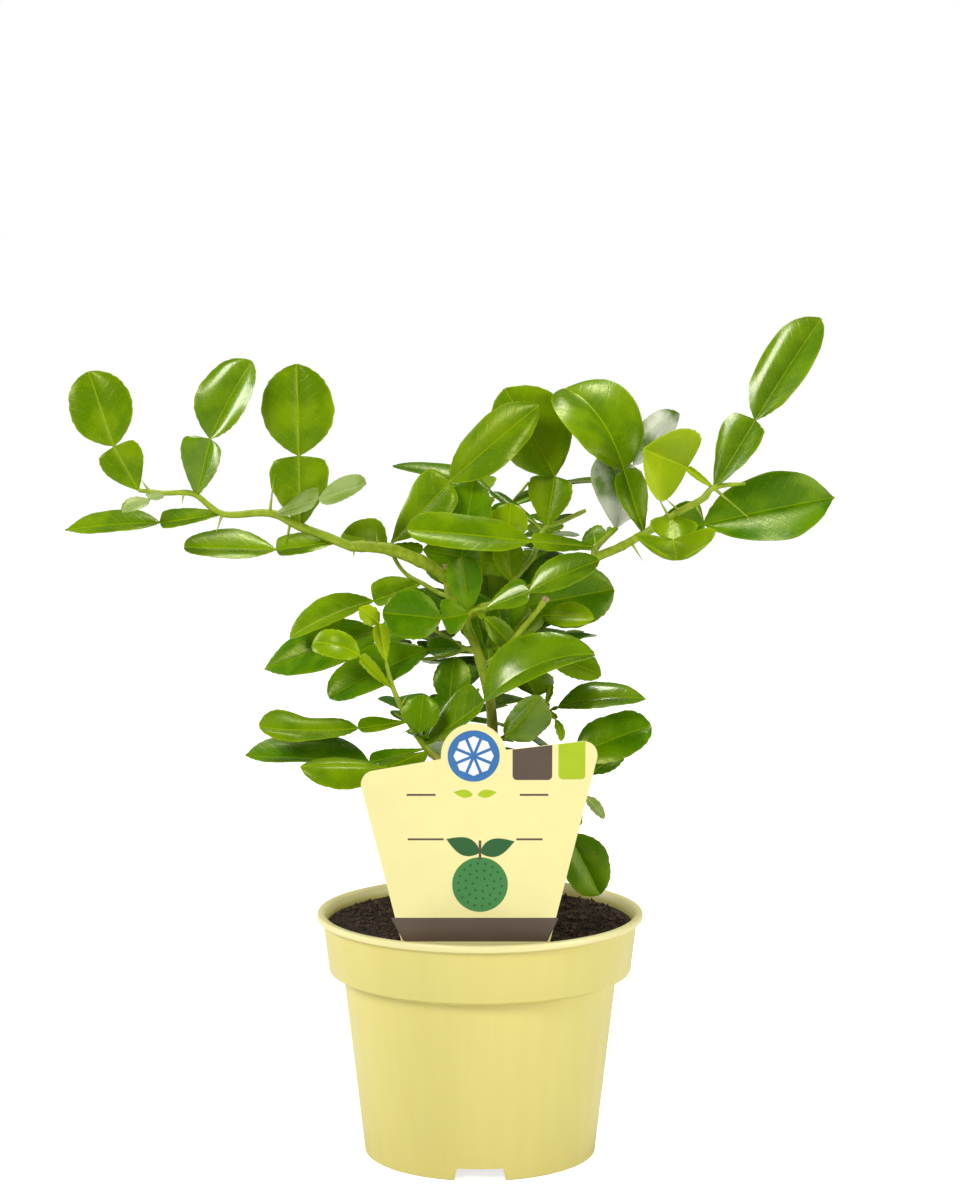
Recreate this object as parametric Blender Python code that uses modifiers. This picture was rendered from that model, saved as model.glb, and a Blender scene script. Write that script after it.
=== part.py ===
"""A young lime tree in a 14 cm pot, with its care tag.

The front of the plant looks along +Y: X runs to the right of that view, Y to the back and Z up.
Sizes are in millimetres and pass through MM on their way into Blender's metres. The pot's axis is at
X = Y = 0 while the pieces are made. At the end all of them hang on one empty, which brings the middle
of the whole plant's footprint to the origin.
"""

import math
import random

import bmesh
import bpy
from mathutils import Matrix, Vector
from mathutils.bvhtree import BVHTree

MM = 0.001
GAP = 0.3  # between pieces that touch on the real plant
TURN_STEPS = 48  # facets round the pot and the soil

# Pot: radii and heights of its outside, then its wall
POT_HEIGHT = 105.2
LIP_RADIUS = 70.0
LIP_DEPTH = 3.2
BAND_TOP_RADIUS = 67.4
BAND_FOOT_RADIUS = 64.9
BAND_FOOT_HEIGHT = 80.6
BODY_TOP_RADIUS = 58.7
BODY_TOP_HEIGHT = 78.2
FOOT_RADIUS = 49.8
WALL = 1.6
STEP_HEIGHT = 77.0  # where the wall's inside steps out into the band
FLOOR_HEIGHT = 5.4
NOTCH_WIDTH = 22.0
NOTCH_NARROWING = 1.3
NOTCH_DEPTH = 4.0  # to either side of the foot ring's middle
NOTCH_COUNT = 3

# Rounded edges of the pot, as (radius, height) from a corner: the lip's outer top, the foot's outside
LIP_EDGE = ((-3.6, -0.7), (-2.4, 0.0), (-0.8, -0.3), (0.0, -1.1), (-0.2, -2.7), (-1.0, -3.2))
FOOT_EDGE = ((0.0, 0.8), (-0.6, 0.0), (-2.4, 0.0))
LIP_FILLET = 0.4
BAND_FILLET = 0.7
FOOT_RING = 2.0

# Soil: how high it stands at the trunk and at the wall
SOIL_TOP = 103.4
SOIL_EDGE = 100.4
SOIL_FLAT_RADIUS = 16.0
SOIL_SLOPE = (40.0, 102.2)

# Tag: its board is a slanted trapezoid with a round bump at its crest, its stake goes into the soil
TAG_Y = -55.0
TAG_THICKNESS = 0.8
TAG_FOOT = 101.8
TAG_FOOT_LEFT, TAG_FOOT_RIGHT = -32.0, 28.4
TAG_LEFT_CORNER = (-50.4, 174.5)
TAG_CREST = (-2.6, 182.8)
TAG_RIGHT_CORNER = (50.2, 188.9)
TAG_CORNER_RADIUS = 5.8
BUMP_CENTRE = (-2.6, 181.8)
BUMP_RADIUS = 13.5
BUMP_STEPS = 14
STAKE_CENTRE = -1.8
STAKE_WIDTH = 15.0
STAKE_TIP_WIDTH = 4.0
STAKE_TIP_HEIGHT = 80.5  # above the pot's step, which it would meet further down

LEAF_THICKNESS = 0.9
PROBE_THICKNESS = 2.0  # a leaf is kept clear of its neighbours as if it were this thick
UP = Vector((0, 0, 1))
VIEWER = Vector((0, -1, 0))

# Limbs: parent, then route points (x, y, z, radius) from the parent's middle to the tip
LIMBS = {
    "trunk": (None, [
        (6, 3, SOIL_TOP + GAP, 4.6), (6, 3, 108, 3.6), (6, 2, 122, 2.9), (6, 2, 150, 2.6), (5, 0, 190, 2.3),
        (2, 0, 206, 2.2), (-2, 0, 220, 2.1), (-8, -1, 232, 2.1), (-13, -1, 242, 2.0), (-14, -1, 254.5, 1.7),
    ]),
    "bough_left": ("trunk", [
        (-13.9, -1, 248.5, 2.4), (-18, -2, 252, 2.6), (-25, -4, 256.5, 2.8), (-37, -6, 261.5, 2.7),
        (-46, -7, 263, 2.5), (-54.5, -8, 263.3, 2.3),
    ]),
    "bough_right": ("trunk", [
        (-7.5, -1, 231, 2.0), (-1, -4, 235.5, 2.2), (8, -6, 239, 2.1), (20, -7, 244.5, 2.0), (34, -7, 251, 2.0),
        (48, -6, 258, 2.1), (59, -5, 262.5, 1.9), (68, -4, 267.5, 1.8),
    ]),
    "stem_pruned": ("trunk", [
        (2.5, 0, 204, 1.3), (7, -6, 213, 1.25), (14, -12, 224, 1.2), (23.5, -15, 236, 1.2), (28, -15.5, 242.5, 1.35),
    ]),
    "bough_back": ("trunk", [
        (-5, -0.5, 226, 1.8), (-6, 8, 235, 1.8), (-5, 21, 245, 1.6), (-3, 33, 253, 1.4),
    ]),
    "bough_low_left": ("trunk", [
        (6, 1, 152, 1.8), (-2, -5, 160, 1.8), (-12, -11, 168, 1.7), (-21, -14, 176, 1.6),
    ]),
    "bough_low_back": ("trunk", [
        (6, 2, 132, 1.9), (2, 12, 144, 1.8), (-5, 24, 157, 1.6), (-10, 34, 168, 1.4),
    ]),
}


def leaf(at, angle, blade, width=None, wing=None, turn=0, out=0, out_wing=None, tip=20, fold=10, curl=15, flare=1):
    """One leaf as a protractor reads it in the front view, in degrees and millimetres.

    at is its place along the stem, angle its blade's direction, 0 to the right and 90 up, and out how far it
    leans to the viewer. The winged stalk under the blade differs from it by turn, and flare widens it. tip turns
    the upper face from the viewer, 0, to the sky, 90; None leaves it to the sky as far as the leaf lets it.
    """
    wing = blade * 0.62 if wing is None else wing
    return {
        "at": at, "angle": angle, "out": out, "blade": blade, "width": width or blade * 0.7, "wing": wing,
        "wing_angle": angle + turn, "wing_out": out if out_wing is None else out_wing,
        "tip": tip, "fold": fold, "curl": curl, "flare": flare,
    }


# Sprays: the limb each one grows from, its stem's route (x, y, z, radius), and the leaves that were posed by eye
SPRAYS = {
    "foliage_left_arm": ("bough_left", [
        (-54.5, -8, 263.3, 2.2), (-76, -10, 272, 1.9), (-88.5, -11, 277.7, 1.7), (-108, -13, 277.5, 1.4),
        (-120, -14, 286, 1.25), (-132.5, -15, 286.5, 1.1), (-143, -16, 287.8, 0.9),
    ], [
        leaf(0.06, 177, 38.5, 24, 26.5, turn=10, out=4, tip=66, curl=2),
        leaf(0.24, 91, 38.5, 31, 30, tip=4, fold=6, curl=6),
        leaf(0.37, 20, 25, 17, 24, turn=2, out=30, tip=58, curl=0),
        leaf(0.60, 179, 40, 22, 26.5, turn=9, out=2, tip=68, curl=12),
        leaf(0.74, 66, 37, 29, 25, turn=10, out=4, tip=34, fold=22),
        leaf(0.88, 194, 16, 9, 10, turn=2, out=30, tip=58),
        leaf(1.0, 108, 33, 27, 21, turn=10, out=2, tip=8, fold=5, flare=0.85),
    ]),
    "foliage_right_arm": ("bough_right", [
        (68, -4, 267.5, 1.8), (74, -4, 271, 1.7), (84, -4, 277.5, 1.6), (94, -4, 283, 1.5), (99, -4, 288, 1.3),
        (112, -4, 289.5, 0.6),
    ], [
        leaf(0.03, 104, 48.5, 41, 28.5, turn=4, out=2, tip=36, fold=8, curl=70, flare=0.48),
        leaf(0.10, 13, 61, 35, 24, turn=-10, out=-3, out_wing=-12, tip=24, fold=22),
        leaf(0.31, 272, 24, 38, 15, turn=-3, out=72, out_wing=54, tip=0, fold=26, curl=-8, flare=0.7),
        leaf(0.74, 59, 51, 27, 33, turn=0, out=-2, tip=38, fold=20, curl=6),
        leaf(0.73, 154, 29, 36, 14.6, turn=-12, out=45, out_wing=10, tip=0, fold=24, curl=5, flare=0.14),
    ]),
    "foliage_right_crown": ("bough_right", [
        (48, -6, 258, 1.4), (49, -4.5, 262, 1.4), (53, -1, 266, 1.3), (58, 3, 270, 1.1),
    ], [
        leaf(0.28, 171, 53, 20.5, 30, turn=2, out=13, out_wing=20, tip=46, curl=6, flare=0.6),
        leaf(0.98, 44, 31, 24, 28.5, turn=30, out=-10, tip=-48, fold=-16, curl=6, flare=2.1),
        leaf(0.92, 204, 18, 12, 5, out=-36, tip=50),
    ]),
    "foliage_centre": ("bough_right", [
        (13, -6.5, 241.5, 1.5), (13.5, -3.5, 247, 1.5), (17, -1, 251.5, 1.4), (22, 2, 257, 1.3),
        (24, 4, 262, 1.2), (27.5, 5, 269.5, 1.15), (34, 6, 272, 1.1), (45, 8, 277, 0.9),
    ], [
        leaf(0.12, 85, 19.5, 17, 16, turn=13, out=-20, out_wing=-10, tip=6),
        leaf(0.66, 118, 43, 38, 22, turn=-37, out=-4, tip=30, fold=12, curl=8, flare=0.8),
        leaf(0.62, 158, 46, 20, 31.5, turn=-13, out=-6, out_wing=-26, tip=72, fold=8, curl=18, flare=0.7),
    ]),
    "foliage_crown_left": ("trunk", [
        (-12.6, -1, 241, 1.1), (-17, 1.5, 242, 1.0), (-24, 3, 246, 1.0), (-32, 5, 250.5, 0.9), (-37, 6, 258, 0.9),
        (-37.5, 5.5, 263.5, 0.85),
    ], [
        leaf(0.38, 193, 39.5, 21, 22, turn=7, out=4, tip=62, fold=16, curl=25, flare=1.35),
        leaf(0.98, 348, 28, 18, 14, out=-16, tip=20, flare=0.4),
        leaf(1.0, 43, 50, 24.5, 37, turn=4, out=10, tip=30, fold=6, curl=8, flare=1.15),
        leaf(0.90, 158, 21, 21, 4, out=-14, out_wing=-50, tip=50, fold=25),
    ]),
    "foliage_front": ("trunk", [
        (-2.5, 0, 222, 1.3), (-5, -5.5, 228, 1.2), (-4, -10.5, 235.5, 1.1), (3, -14, 238, 1.0),
    ], [
        leaf(0.99, 29, 32, 18, 19.5, turn=-7, out=5, tip=44, fold=16),
        leaf(0.66, 170, 25.5, 22, 13, turn=18, out=20, tip=18),
        leaf(0.56, 82, 36, 21, 26, turn=14, out=-20, out_wing=0, tip=10, fold=10, flare=0.9),
        leaf(0.80, 315, 20, 11, 5, out=14, tip=26),
    ]),
    "foliage_left_mid": ("trunk", [
        (-1.5, 0, 217, 1.1), (-8, 4, 219, 1.0), (-15, 7, 223, 0.9), (-22, 9, 227, 0.8),
    ], [
        leaf(0.30, 199, 47, 25, 15, turn=-16, out=14, tip=50, fold=16),
        leaf(1.0, 193, 54, 25, 20, turn=-5, out=0, tip=42),
    ]),
    "foliage_low_left": ("bough_low_left", [
        (-21, -14, 176, 1.5), (-24, -15, 180, 1.5), (-30, -15.5, 189.5, 1.3), (-36.5, -16, 203.5, 1.1),
        (-39.5, -16, 215, 0.8),
    ], [
        leaf(0.06, 175, 52.5, 31, 25, turn=19, out=0, tip=72, fold=18, curl=4, flare=0.5),
        leaf(0.10, 50, 53, 31, 33, turn=-12, out=11, tip=60, fold=22, curl=64),
        leaf(0.14, 85, 20, 17, 24, turn=-34, out=-6, out_wing=-40, tip=8),
        leaf(0.20, 84, 16, 17, 7, out=0, out_wing=65, tip=10, fold=8),
        leaf(0.38, 184, 42, 22, 21.5, turn=3, out=6, tip=64, curl=-14, flare=0.6),
        leaf(0.72, 138, 24, 14, 24, turn=-7, out=28, tip=38, curl=100, flare=0.55),
        leaf(1.0, 135, 11, 9, 17, turn=-35, out=20, out_wing=5, tip=24, curl=20, flare=1.1),
        leaf(0.03, 171, 36, 22, 30, turn=19, out=0, out_wing=40, tip=60, fold=-25),
    ]),
    "foliage_right_mid": ("trunk", [
        (0.5, 0, 211, 1.2), (6, 5, 214, 1.1), (11, 8, 219, 1.0), (14, 10, 225, 0.8),
    ], [
        leaf(0.98, 10, 39, 28, 13, turn=50, out=-6, tip=8),
        leaf(0.45, 346, 26, 22, 20, turn=14, out=2, tip=56),
        leaf(0.80, 4, 22, 13, 20, turn=34, out=20, tip=44),
        leaf(0.20, 104, 26, 20, 6, out=-8, tip=12),
    ]),
    "foliage_low_right": ("trunk", [
        (5.3, 0.3, 177, 1.3), (12, 2, 181, 1.2), (22, 4, 187.5, 1.0), (30, 4, 191.5, 0.8),
    ], [
        leaf(0.98, 20, 39, 22, 4, out=0, tip=66, curl=34),
        leaf(0.14, 45, 23.5, 26, 6, out=10, out_wing=70, tip=-40, fold=16),
        leaf(1.0, 302, 10, 5, 5, out=34, tip=40, curl=50),
        leaf(0.96, 76, 8, 3.4, 4, turn=18, out=4, tip=20),
    ]),
    "foliage_low_right_foot": ("trunk", [
        (6, 2, 143, 1.5), (16, 6, 150, 1.3), (27, 7, 158, 1.1), (34, 6, 166, 0.9),
    ], [
        leaf(1.0, 26, 36, 23.5, 8, turn=14, out=2, tip=36),
        leaf(0.80, 299, 31, 22, 24, turn=-8, out=4, tip=16),
        leaf(0.92, 318, 13, 7, 16, turn=6, out=14, tip=50),
        leaf(0.96, 36, 19.5, 10.5, 16, turn=-46, out=-20, tip=30),
    ]),
    "foliage_back_top": ("bough_back", [
        (-3, 33, 253, 1.3), (0, 44, 261, 1.1), (4, 56, 268, 0.8),
    ], []),
    "foliage_back_mid": ("trunk", [
        (4, 0, 196, 1.4), (6, 14, 204, 1.2), (9, 32, 215, 1.0), (10, 50, 224, 0.8),
    ], []),
    "foliage_back_low": ("bough_low_back", [
        (-10, 34, 168, 1.3), (-15, 44, 176, 1.1), (-18, 58, 182, 0.8),
    ], []),
    "foliage_back_foot": ("trunk", [
        (6, 2, 124, 1.4), (14, 14, 132, 1.2), (24, 28, 141, 1.0), (30, 42, 148, 0.8),
    ], []),
}

# Seeded growth: how many side twigs a spray tries, how many leaves on its stem and on each twig, and the space
# that all of it keeps to, as (x, y, z) ranges
SEEDED = {
    "foliage_back_top": (5, 9, ((-24, 52), (16, 106), (232, 288))),
    "foliage_back_mid": (4, 7, ((-40, 50), (8, 104), (184, 258))),
    "foliage_back_low": (5, 8, ((-42, 38), (14, 104), (130, 198))),
    "foliage_back_foot": (4, 6, ((-30, 44), (8, 96), (107, 178))),
    "foliage_left_mid": (2, 4, ((-54, 6), (2, 66), (194, 250))),
    "foliage_right_mid": (2, 4, ((-4, 58), (2, 66), (194, 256))),
    "foliage_low_right_foot": (1, 3, ((0, 44), (-10, 50), (112, 172))),
    "foliage_centre": (1, 3, ((-8, 36), (2, 60), (246, 286))),
}
TWIG_LEAVES = 4
TWIG_LENGTHS = (20, 32)
TWIG_RADII = (0.85, 0.6)
SEED = 37
GOLDEN_ANGLE = 137.5
NUDGES = (0, 7, -7, 14, -14, 21, -21, 30, -30)

# Leaf outlines: share of the length, share of the width
WING_OUTLINE = ((0.0, 0.06), (0.3, 0.62), (0.62, 1.0), (0.93, 0.88))
BLADE_OUTLINE = ((0.0, 0.04), (0.09, 0.42), (0.27, 0.84), (0.52, 1.0), (0.78, 0.8), (0.93, 0.42), (1.0, 0.04))
THINNEST_HALF = 0.4
WING_HALF = 0.35  # of the blade's width, on a wing half as long as the blade
WIDEST_WING = 1.15  # how much wider a longer wing may be

# The plant's own rule: how far a bud leans off its stem, how it is drawn level and up, and its leaf's ranges
BUD_LIFT = (38, 62)
LEVELLED, RAISED = 0.7, 0.12
TWIGS_FROM, TWIGS_ALONG = 0.2, 0.6
LEAVES_FROM = 0.3
BLADE_LENGTHS = (28, 40)
CURLS = (5, 30)
WING_TURN, WING_LEAN = 14, 12

# An upper face can't look to the viewer, or to the sky, on a leaf that grows closer to that line than this
TOO_CLOSE = 0.2
EVEN = 0.05


# Scene, collections and materials
def clear_scene():
    for obj in list(bpy.data.objects):
        bpy.data.objects.remove(obj)


def new_collection(name):
    collection = bpy.data.collections.new(name)
    bpy.context.scene.collection.children.link(collection)
    return collection


def new_material(name, colour, roughness):
    material = bpy.data.materials.new(name)
    material.use_nodes = True
    shader = material.node_tree.nodes["Principled BSDF"]
    shader.inputs["Base Color"].default_value = (*colour, 1)
    shader.inputs["Roughness"].default_value = roughness
    return material


def new_object(name, data, collection, material=None):
    obj = bpy.data.objects.new(name, data)
    collection.objects.link(obj)
    if material:
        data.materials.append(material)
    return obj


def smooth(obj, degrees=40):
    obj.data.shade_smooth()
    obj.data.set_sharp_from_angle(angle=math.radians(degrees))


# Solid modelling
def applied(obj):
    """Bakes the object's modifiers, or its curve, into a plain mesh with the caps welded on."""
    graph = bpy.context.evaluated_depsgraph_get()
    mesh = bpy.data.meshes.new_from_object(obj.evaluated_get(graph))
    cage = bmesh.new()
    cage.from_mesh(mesh)
    bmesh.ops.remove_doubles(cage, verts=cage.verts, dist=0.001 * MM)
    cage.to_mesh(mesh)
    cage.free()
    material = obj.data.materials[0] if obj.data.materials else None
    name, collection = obj.name, obj.users_collection[0]
    bpy.data.objects.remove(obj)
    mesh.materials.clear()
    return new_object(name, mesh, collection, material)


def join(obj, others):
    """Fuses every object of a collection onto obj, then empties the collection."""
    union = obj.modifiers.new("join", "BOOLEAN")
    union.operation = "UNION"
    union.operand_type = "COLLECTION"
    union.collection = others
    whole = applied(obj)
    for other in list(others.objects):
        bpy.data.objects.remove(other)
    return whole


def cut(obj, cutter):
    difference = obj.modifiers.new("cut", "BOOLEAN")
    difference.operation = "DIFFERENCE"
    difference.object = cutter
    return applied(obj)


def turned(name, profile, collection, material):
    """A closed solid from a profile (radius, height) that starts and ends on the axis."""
    mesh = bpy.data.meshes.new(name)
    points = [(radius * MM, 0, height * MM) for radius, height in profile]
    mesh.from_pydata(points, [(i, i + 1) for i in range(len(points) - 1)], [])
    obj = new_object(name, mesh, collection, material)
    screw = obj.modifiers.new("turn", "SCREW")
    screw.steps = screw.render_steps = TURN_STEPS
    screw.use_merge_vertices = True
    screw.merge_threshold = 0.0001
    return applied(obj)


def plate(name, outline, thickness, y, collection, material=None):
    """A flat piece that stands upright at y, from an outline of (x, z)."""
    curve = bpy.data.curves.new(name, "CURVE")
    curve.dimensions = "2D"
    curve.fill_mode = "BOTH"
    curve.extrude = thickness / 2 * MM
    spline = curve.splines.new("POLY")
    spline.points.add(len(outline) - 1)
    for point, (x, z) in zip(spline.points, outline):
        point.co = (x * MM, z * MM, 0, 1)
    spline.use_cyclic_u = True
    obj = new_object(name, curve, collection, material)
    obj = applied(obj)
    obj.data.transform(Matrix.Translation((0, y * MM, 0)) @ Matrix.Rotation(math.pi / 2, 4, "X"))
    return obj


def rounded_corner(before, corner, after, radius, steps=5):
    """The arc that rounds one corner of an outline."""
    corner = Vector(corner)
    to_before = (Vector(before) - corner).normalized()
    to_after = (Vector(after) - corner).normalized()
    half = to_before.angle(to_after) / 2
    centre = corner + (to_before + to_after).normalized() * (radius / math.sin(half))
    start = corner + to_before * (radius / math.tan(half)) - centre
    sweep = start.angle_signed(corner + to_after * (radius / math.tan(half)) - centre)
    return [centre + Matrix.Rotation(-sweep * i / steps, 2) @ start for i in range(steps + 1)]


def spline_points(route, steps=3):
    """Points of a smooth curve through a limb's route; the radius runs along with them."""
    route = [Vector(point) for point in route]
    points = []
    for i in range(len(route) - 1):
        a, b, c, d = route[max(i - 1, 0)], route[i], route[i + 1], route[min(i + 2, len(route) - 1)]
        for k in range(steps):
            t = k / steps
            points.append(
                0.5 * (2 * b + (c - a) * t + (2 * a - 5 * b + 4 * c - d) * t**2 + (3 * b - a - 3 * c + d) * t**3)
            )
    return points + [route[-1]]


def limb_tube(name, route, collection, material=None, fatten=0.0, sides=6, steps=2):
    """A tapering round limb along its route."""
    curve = bpy.data.curves.new(name, "CURVE")
    curve.dimensions = "3D"
    curve.bevel_depth = MM
    curve.bevel_resolution = (sides - 4) // 2
    curve.use_fill_caps = True
    points = spline_points(route, steps)
    spline = curve.splines.new("POLY")
    spline.points.add(len(points) - 1)
    for point, (x, y, z, radius) in zip(spline.points, points):
        point.co = (x * MM, y * MM, z * MM, 1)
        point.radius = radius + fatten
    return applied(new_object(name, curve, collection, material))


# Pot, soil and tag
def wall_radius(height):
    """Radius of the pot's inside at a height."""
    if height > BAND_FOOT_HEIGHT:
        share = (height - BAND_FOOT_HEIGHT) / (POT_HEIGHT - LIP_DEPTH - BAND_FOOT_HEIGHT)
        return BAND_FOOT_RADIUS + share * (BAND_TOP_RADIUS - BAND_FOOT_RADIUS) - WALL
    return FOOT_RADIUS + height / BODY_TOP_HEIGHT * (BODY_TOP_RADIUS - FOOT_RADIUS) - WALL


def make_pot(collection, cutters):
    floor = FLOOR_HEIGHT + WALL
    lip_foot = POT_HEIGHT - LIP_DEPTH
    profile = [
        (0, floor), (wall_radius(floor), floor), (wall_radius(STEP_HEIGHT), STEP_HEIGHT),
        (BAND_FOOT_RADIUS - WALL, BAND_FOOT_HEIGHT), (wall_radius(lip_foot), lip_foot),
        *[(LIP_RADIUS + out, POT_HEIGHT + up) for out, up in LIP_EDGE],
        (BAND_TOP_RADIUS, lip_foot - LIP_FILLET), (BAND_FOOT_RADIUS, BAND_FOOT_HEIGHT),
        (BAND_FOOT_RADIUS - BAND_FILLET, BAND_FOOT_HEIGHT - BAND_FILLET), (BODY_TOP_RADIUS, BODY_TOP_HEIGHT),
        *[(FOOT_RADIUS + out, up) for out, up in FOOT_EDGE],
        (FOOT_RADIUS - FOOT_RING, FLOOR_HEIGHT), (0, FLOOR_HEIGHT),
    ]
    pot = turned("pot", profile, collection, new_material("yellow_plastic", (0.78, 0.70, 0.22), 0.38))
    half, below = NOTCH_WIDTH / 2, -WALL
    top = half - NOTCH_NARROWING
    outline = [(-half, below), (half, below), (top, FLOOR_HEIGHT), (-top, FLOOR_HEIGHT)]
    for i in range(NOTCH_COUNT):
        notch = plate("notch", outline, 2 * NOTCH_DEPTH, FOOT_RING / 2 - FOOT_RADIUS, cutters)
        notch.data.transform(Matrix.Rotation(i * 2 * math.pi / NOTCH_COUNT, 4, "Z"))
        pot = cut(pot, notch)
        bpy.data.objects.remove(notch)
    smooth(pot, 30)


def stake_outline(grow):
    """The tag's stake below the board, wider by grow on every side."""
    tip = STAKE_TIP_HEIGHT - grow
    wide, narrow = STAKE_WIDTH / 2 + grow, STAKE_TIP_WIDTH / 2 + grow
    return [
        (STAKE_CENTRE - wide, TAG_FOOT), (STAKE_CENTRE - narrow, tip),
        (STAKE_CENTRE + narrow, tip), (STAKE_CENTRE + wide, TAG_FOOT),
    ]


def make_soil(collection, cutters):
    floor = FLOOR_HEIGHT + WALL + GAP
    profile = [
        (0, SOIL_TOP), (SOIL_FLAT_RADIUS, SOIL_TOP), SOIL_SLOPE, (wall_radius(SOIL_EDGE) - GAP, SOIL_EDGE),
        (BAND_FOOT_RADIUS - WALL - GAP, BAND_FOOT_HEIGHT + GAP),
        (wall_radius(STEP_HEIGHT) - 1.5 * GAP, STEP_HEIGHT + GAP),
        (wall_radius(floor) - GAP, floor), (0, floor),
    ]
    soil = turned("soil", profile, collection, new_material("peat", (0.03, 0.02, 0.015), 0.95))
    slot = plate("slot", stake_outline(GAP), TAG_THICKNESS + 2 * GAP, TAG_Y, cutters)
    cut(soil, slot)
    bpy.data.objects.remove(slot)


def bump_end(corner):
    """Where the bump meets the top edge that runs from the crest to a corner."""
    edge = (Vector(corner) - Vector(TAG_CREST)).normalized()
    crest = Vector(TAG_CREST) - Vector(BUMP_CENTRE)
    middle = crest.dot(edge)
    reach = math.sqrt(middle**2 - crest.length_squared + BUMP_RADIUS**2) - middle
    return crest + edge * reach


def tag_outline():
    foot_left, foot_right = (TAG_FOOT_LEFT, TAG_FOOT), (TAG_FOOT_RIGHT, TAG_FOOT)
    start, end = bump_end(TAG_LEFT_CORNER), bump_end(TAG_RIGHT_CORNER)
    sweep = start.angle(end)
    arc = [Matrix.Rotation(-sweep * i / BUMP_STEPS, 2) @ start for i in range(BUMP_STEPS + 1)]
    return (
        [foot_left]
        + rounded_corner(foot_left, TAG_LEFT_CORNER, TAG_CREST, TAG_CORNER_RADIUS)
        + [Vector(BUMP_CENTRE) + point for point in arc]
        + rounded_corner(TAG_CREST, TAG_RIGHT_CORNER, foot_right, TAG_CORNER_RADIUS)
        + [foot_right]
        + stake_outline(0)[::-1]
    )


def make_tag(collection):
    material = new_material("tag_card", (0.93, 0.86, 0.42), 0.5)
    plate("tag", tag_outline(), TAG_THICKNESS, TAG_Y, collection, material)


# Leaves
def aim(angle, out):
    """Direction of a protractor reading: angle in the front view, out towards the viewer."""
    angle, out = math.radians(angle), math.radians(out)
    return Vector((math.cos(angle) * math.cos(out), -math.sin(out), math.sin(angle) * math.cos(out)))


def facing(along, tip):
    """The way the upper face looks on a piece that grows along."""
    front = VIEWER - along * along.dot(VIEWER)
    sky = UP - along * along.dot(UP)
    if tip is None and sky.length > TOO_CLOSE:
        return sky.normalized()
    front = (front if front.length > TOO_CLOSE else sky).normalized()
    other = along.cross(front)
    if other.z < -EVEN or (abs(other.z) <= EVEN and other.x < 0):
        other = -other
    roll = math.radians(tip or 0)
    return front * math.cos(roll) + other * math.sin(roll)


def leaf_rings(foot, pose, lean=0):
    """Cross-sections of a leaf from its foot to its tip, as (middle, side, upper, half width)."""
    along = aim(pose["wing_angle"], pose["wing_out"] + lean)
    upper = facing(along, pose["tip"])
    middle = Vector(foot)
    rings = []
    if pose["wing"]:
        share = min(WIDEST_WING, 2 * pose["wing"] / pose["blade"])
        wing_half = pose["width"] * WING_HALF * share * pose["flare"]
        for share, breadth in WING_OUTLINE:
            point = middle + along * pose["wing"] * share
            rings.append((point, along.cross(upper), upper, max(THINNEST_HALF, wing_half * breadth)))
        middle = middle + along * pose["wing"]
    along = aim(pose["angle"], pose["out"] + lean)
    upper = facing(along, pose["tip"])
    side = along.cross(upper)
    bend = math.radians(-pose["curl"])
    last = 0.0
    for share, breadth in BLADE_OUTLINE:
        turn = Matrix.Rotation(bend * (share + last) / 2, 3, side)
        middle = middle + (turn @ along) * pose["blade"] * (share - last)
        half = max(THINNEST_HALF, pose["width"] / 2 * breadth)
        rings.append((middle, side, Matrix.Rotation(bend * share, 3, side) @ upper, half))
        last = share
    return rings


def leaf_shape(rings, fold, thickness):
    """Corners and faces of a leaf: a lens section, folded along its midrib, lofted through the rings."""
    rise = math.radians(fold)
    points = []
    for middle, side, upper, half in rings:
        up = upper * half * math.sin(rise)
        out = side * half * math.cos(rise)
        points += [middle - out + up, middle + upper * thickness / 2, middle + out + up, middle - upper * thickness / 2]
    faces = [(3, 2, 1, 0)]
    for i in range(0, len(points) - 4, 4):
        faces += [(i + k, i + (k + 1) % 4, i + (k + 1) % 4 + 4, i + k + 4) for k in range(4)]
    last = len(points) - 4
    return points, faces + [(last, last + 1, last + 2, last + 3)]


def leaf_mesh(name, rings, pose):
    thickness = max(LEAF_THICKNESS, (pose["blade"] + pose["wing"]) / 80)
    points, faces = leaf_shape(rings, pose["fold"], thickness)
    cage = bmesh.new()
    verts = [cage.verts.new(point * MM) for point in points]
    for face in faces:
        cage.faces.new([verts[i] for i in face])
    bmesh.ops.recalc_face_normals(cage, faces=cage.faces)
    mesh = bpy.data.meshes.new(name)
    cage.to_mesh(mesh)
    cage.free()
    return mesh


# Room: what is already placed, so that each new leaf keeps clear of it
def tree_of(points, faces):
    return BVHTree.FromPolygons([tuple(point) for point in points], [tuple(face) for face in faces])


def tree_of_object(obj):
    return tree_of([v.co / MM for v in obj.data.vertices], [p.vertices for p in obj.data.polygons])


def tube_shape(route, radius):
    """Corners and faces of a square tube along a route."""
    points, faces = [], []
    for x, y, z, _ in route:
        middle = Vector((x, y, z))
        points += [middle + Vector(corner) * radius for corner in ((1, 0, -1), (0, 1, 0), (-1, 0, -1), (0, -1, 1))]
    for i in range(0, len(points) - 4, 4):
        faces += [(i + k, i + (k + 1) % 4, i + (k + 1) % 4 + 4, i + k + 4) for k in range(4)]
    return points, faces


def settle(foot, pose, placed, space=None):
    """The leaf's rings at the first lean that keeps it clear, or None where no lean does."""
    for lean in NUDGES:
        rings = leaf_rings(foot, pose, lean)
        if space and not inside([ring[0] for ring in rings], space):
            continue
        probe = tree_of(*leaf_shape(rings[1:], pose["fold"], PROBE_THICKNESS))
        if not any(probe.overlap(tree) for tree in placed):
            placed.append(probe)
            return rings
    return None


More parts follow.
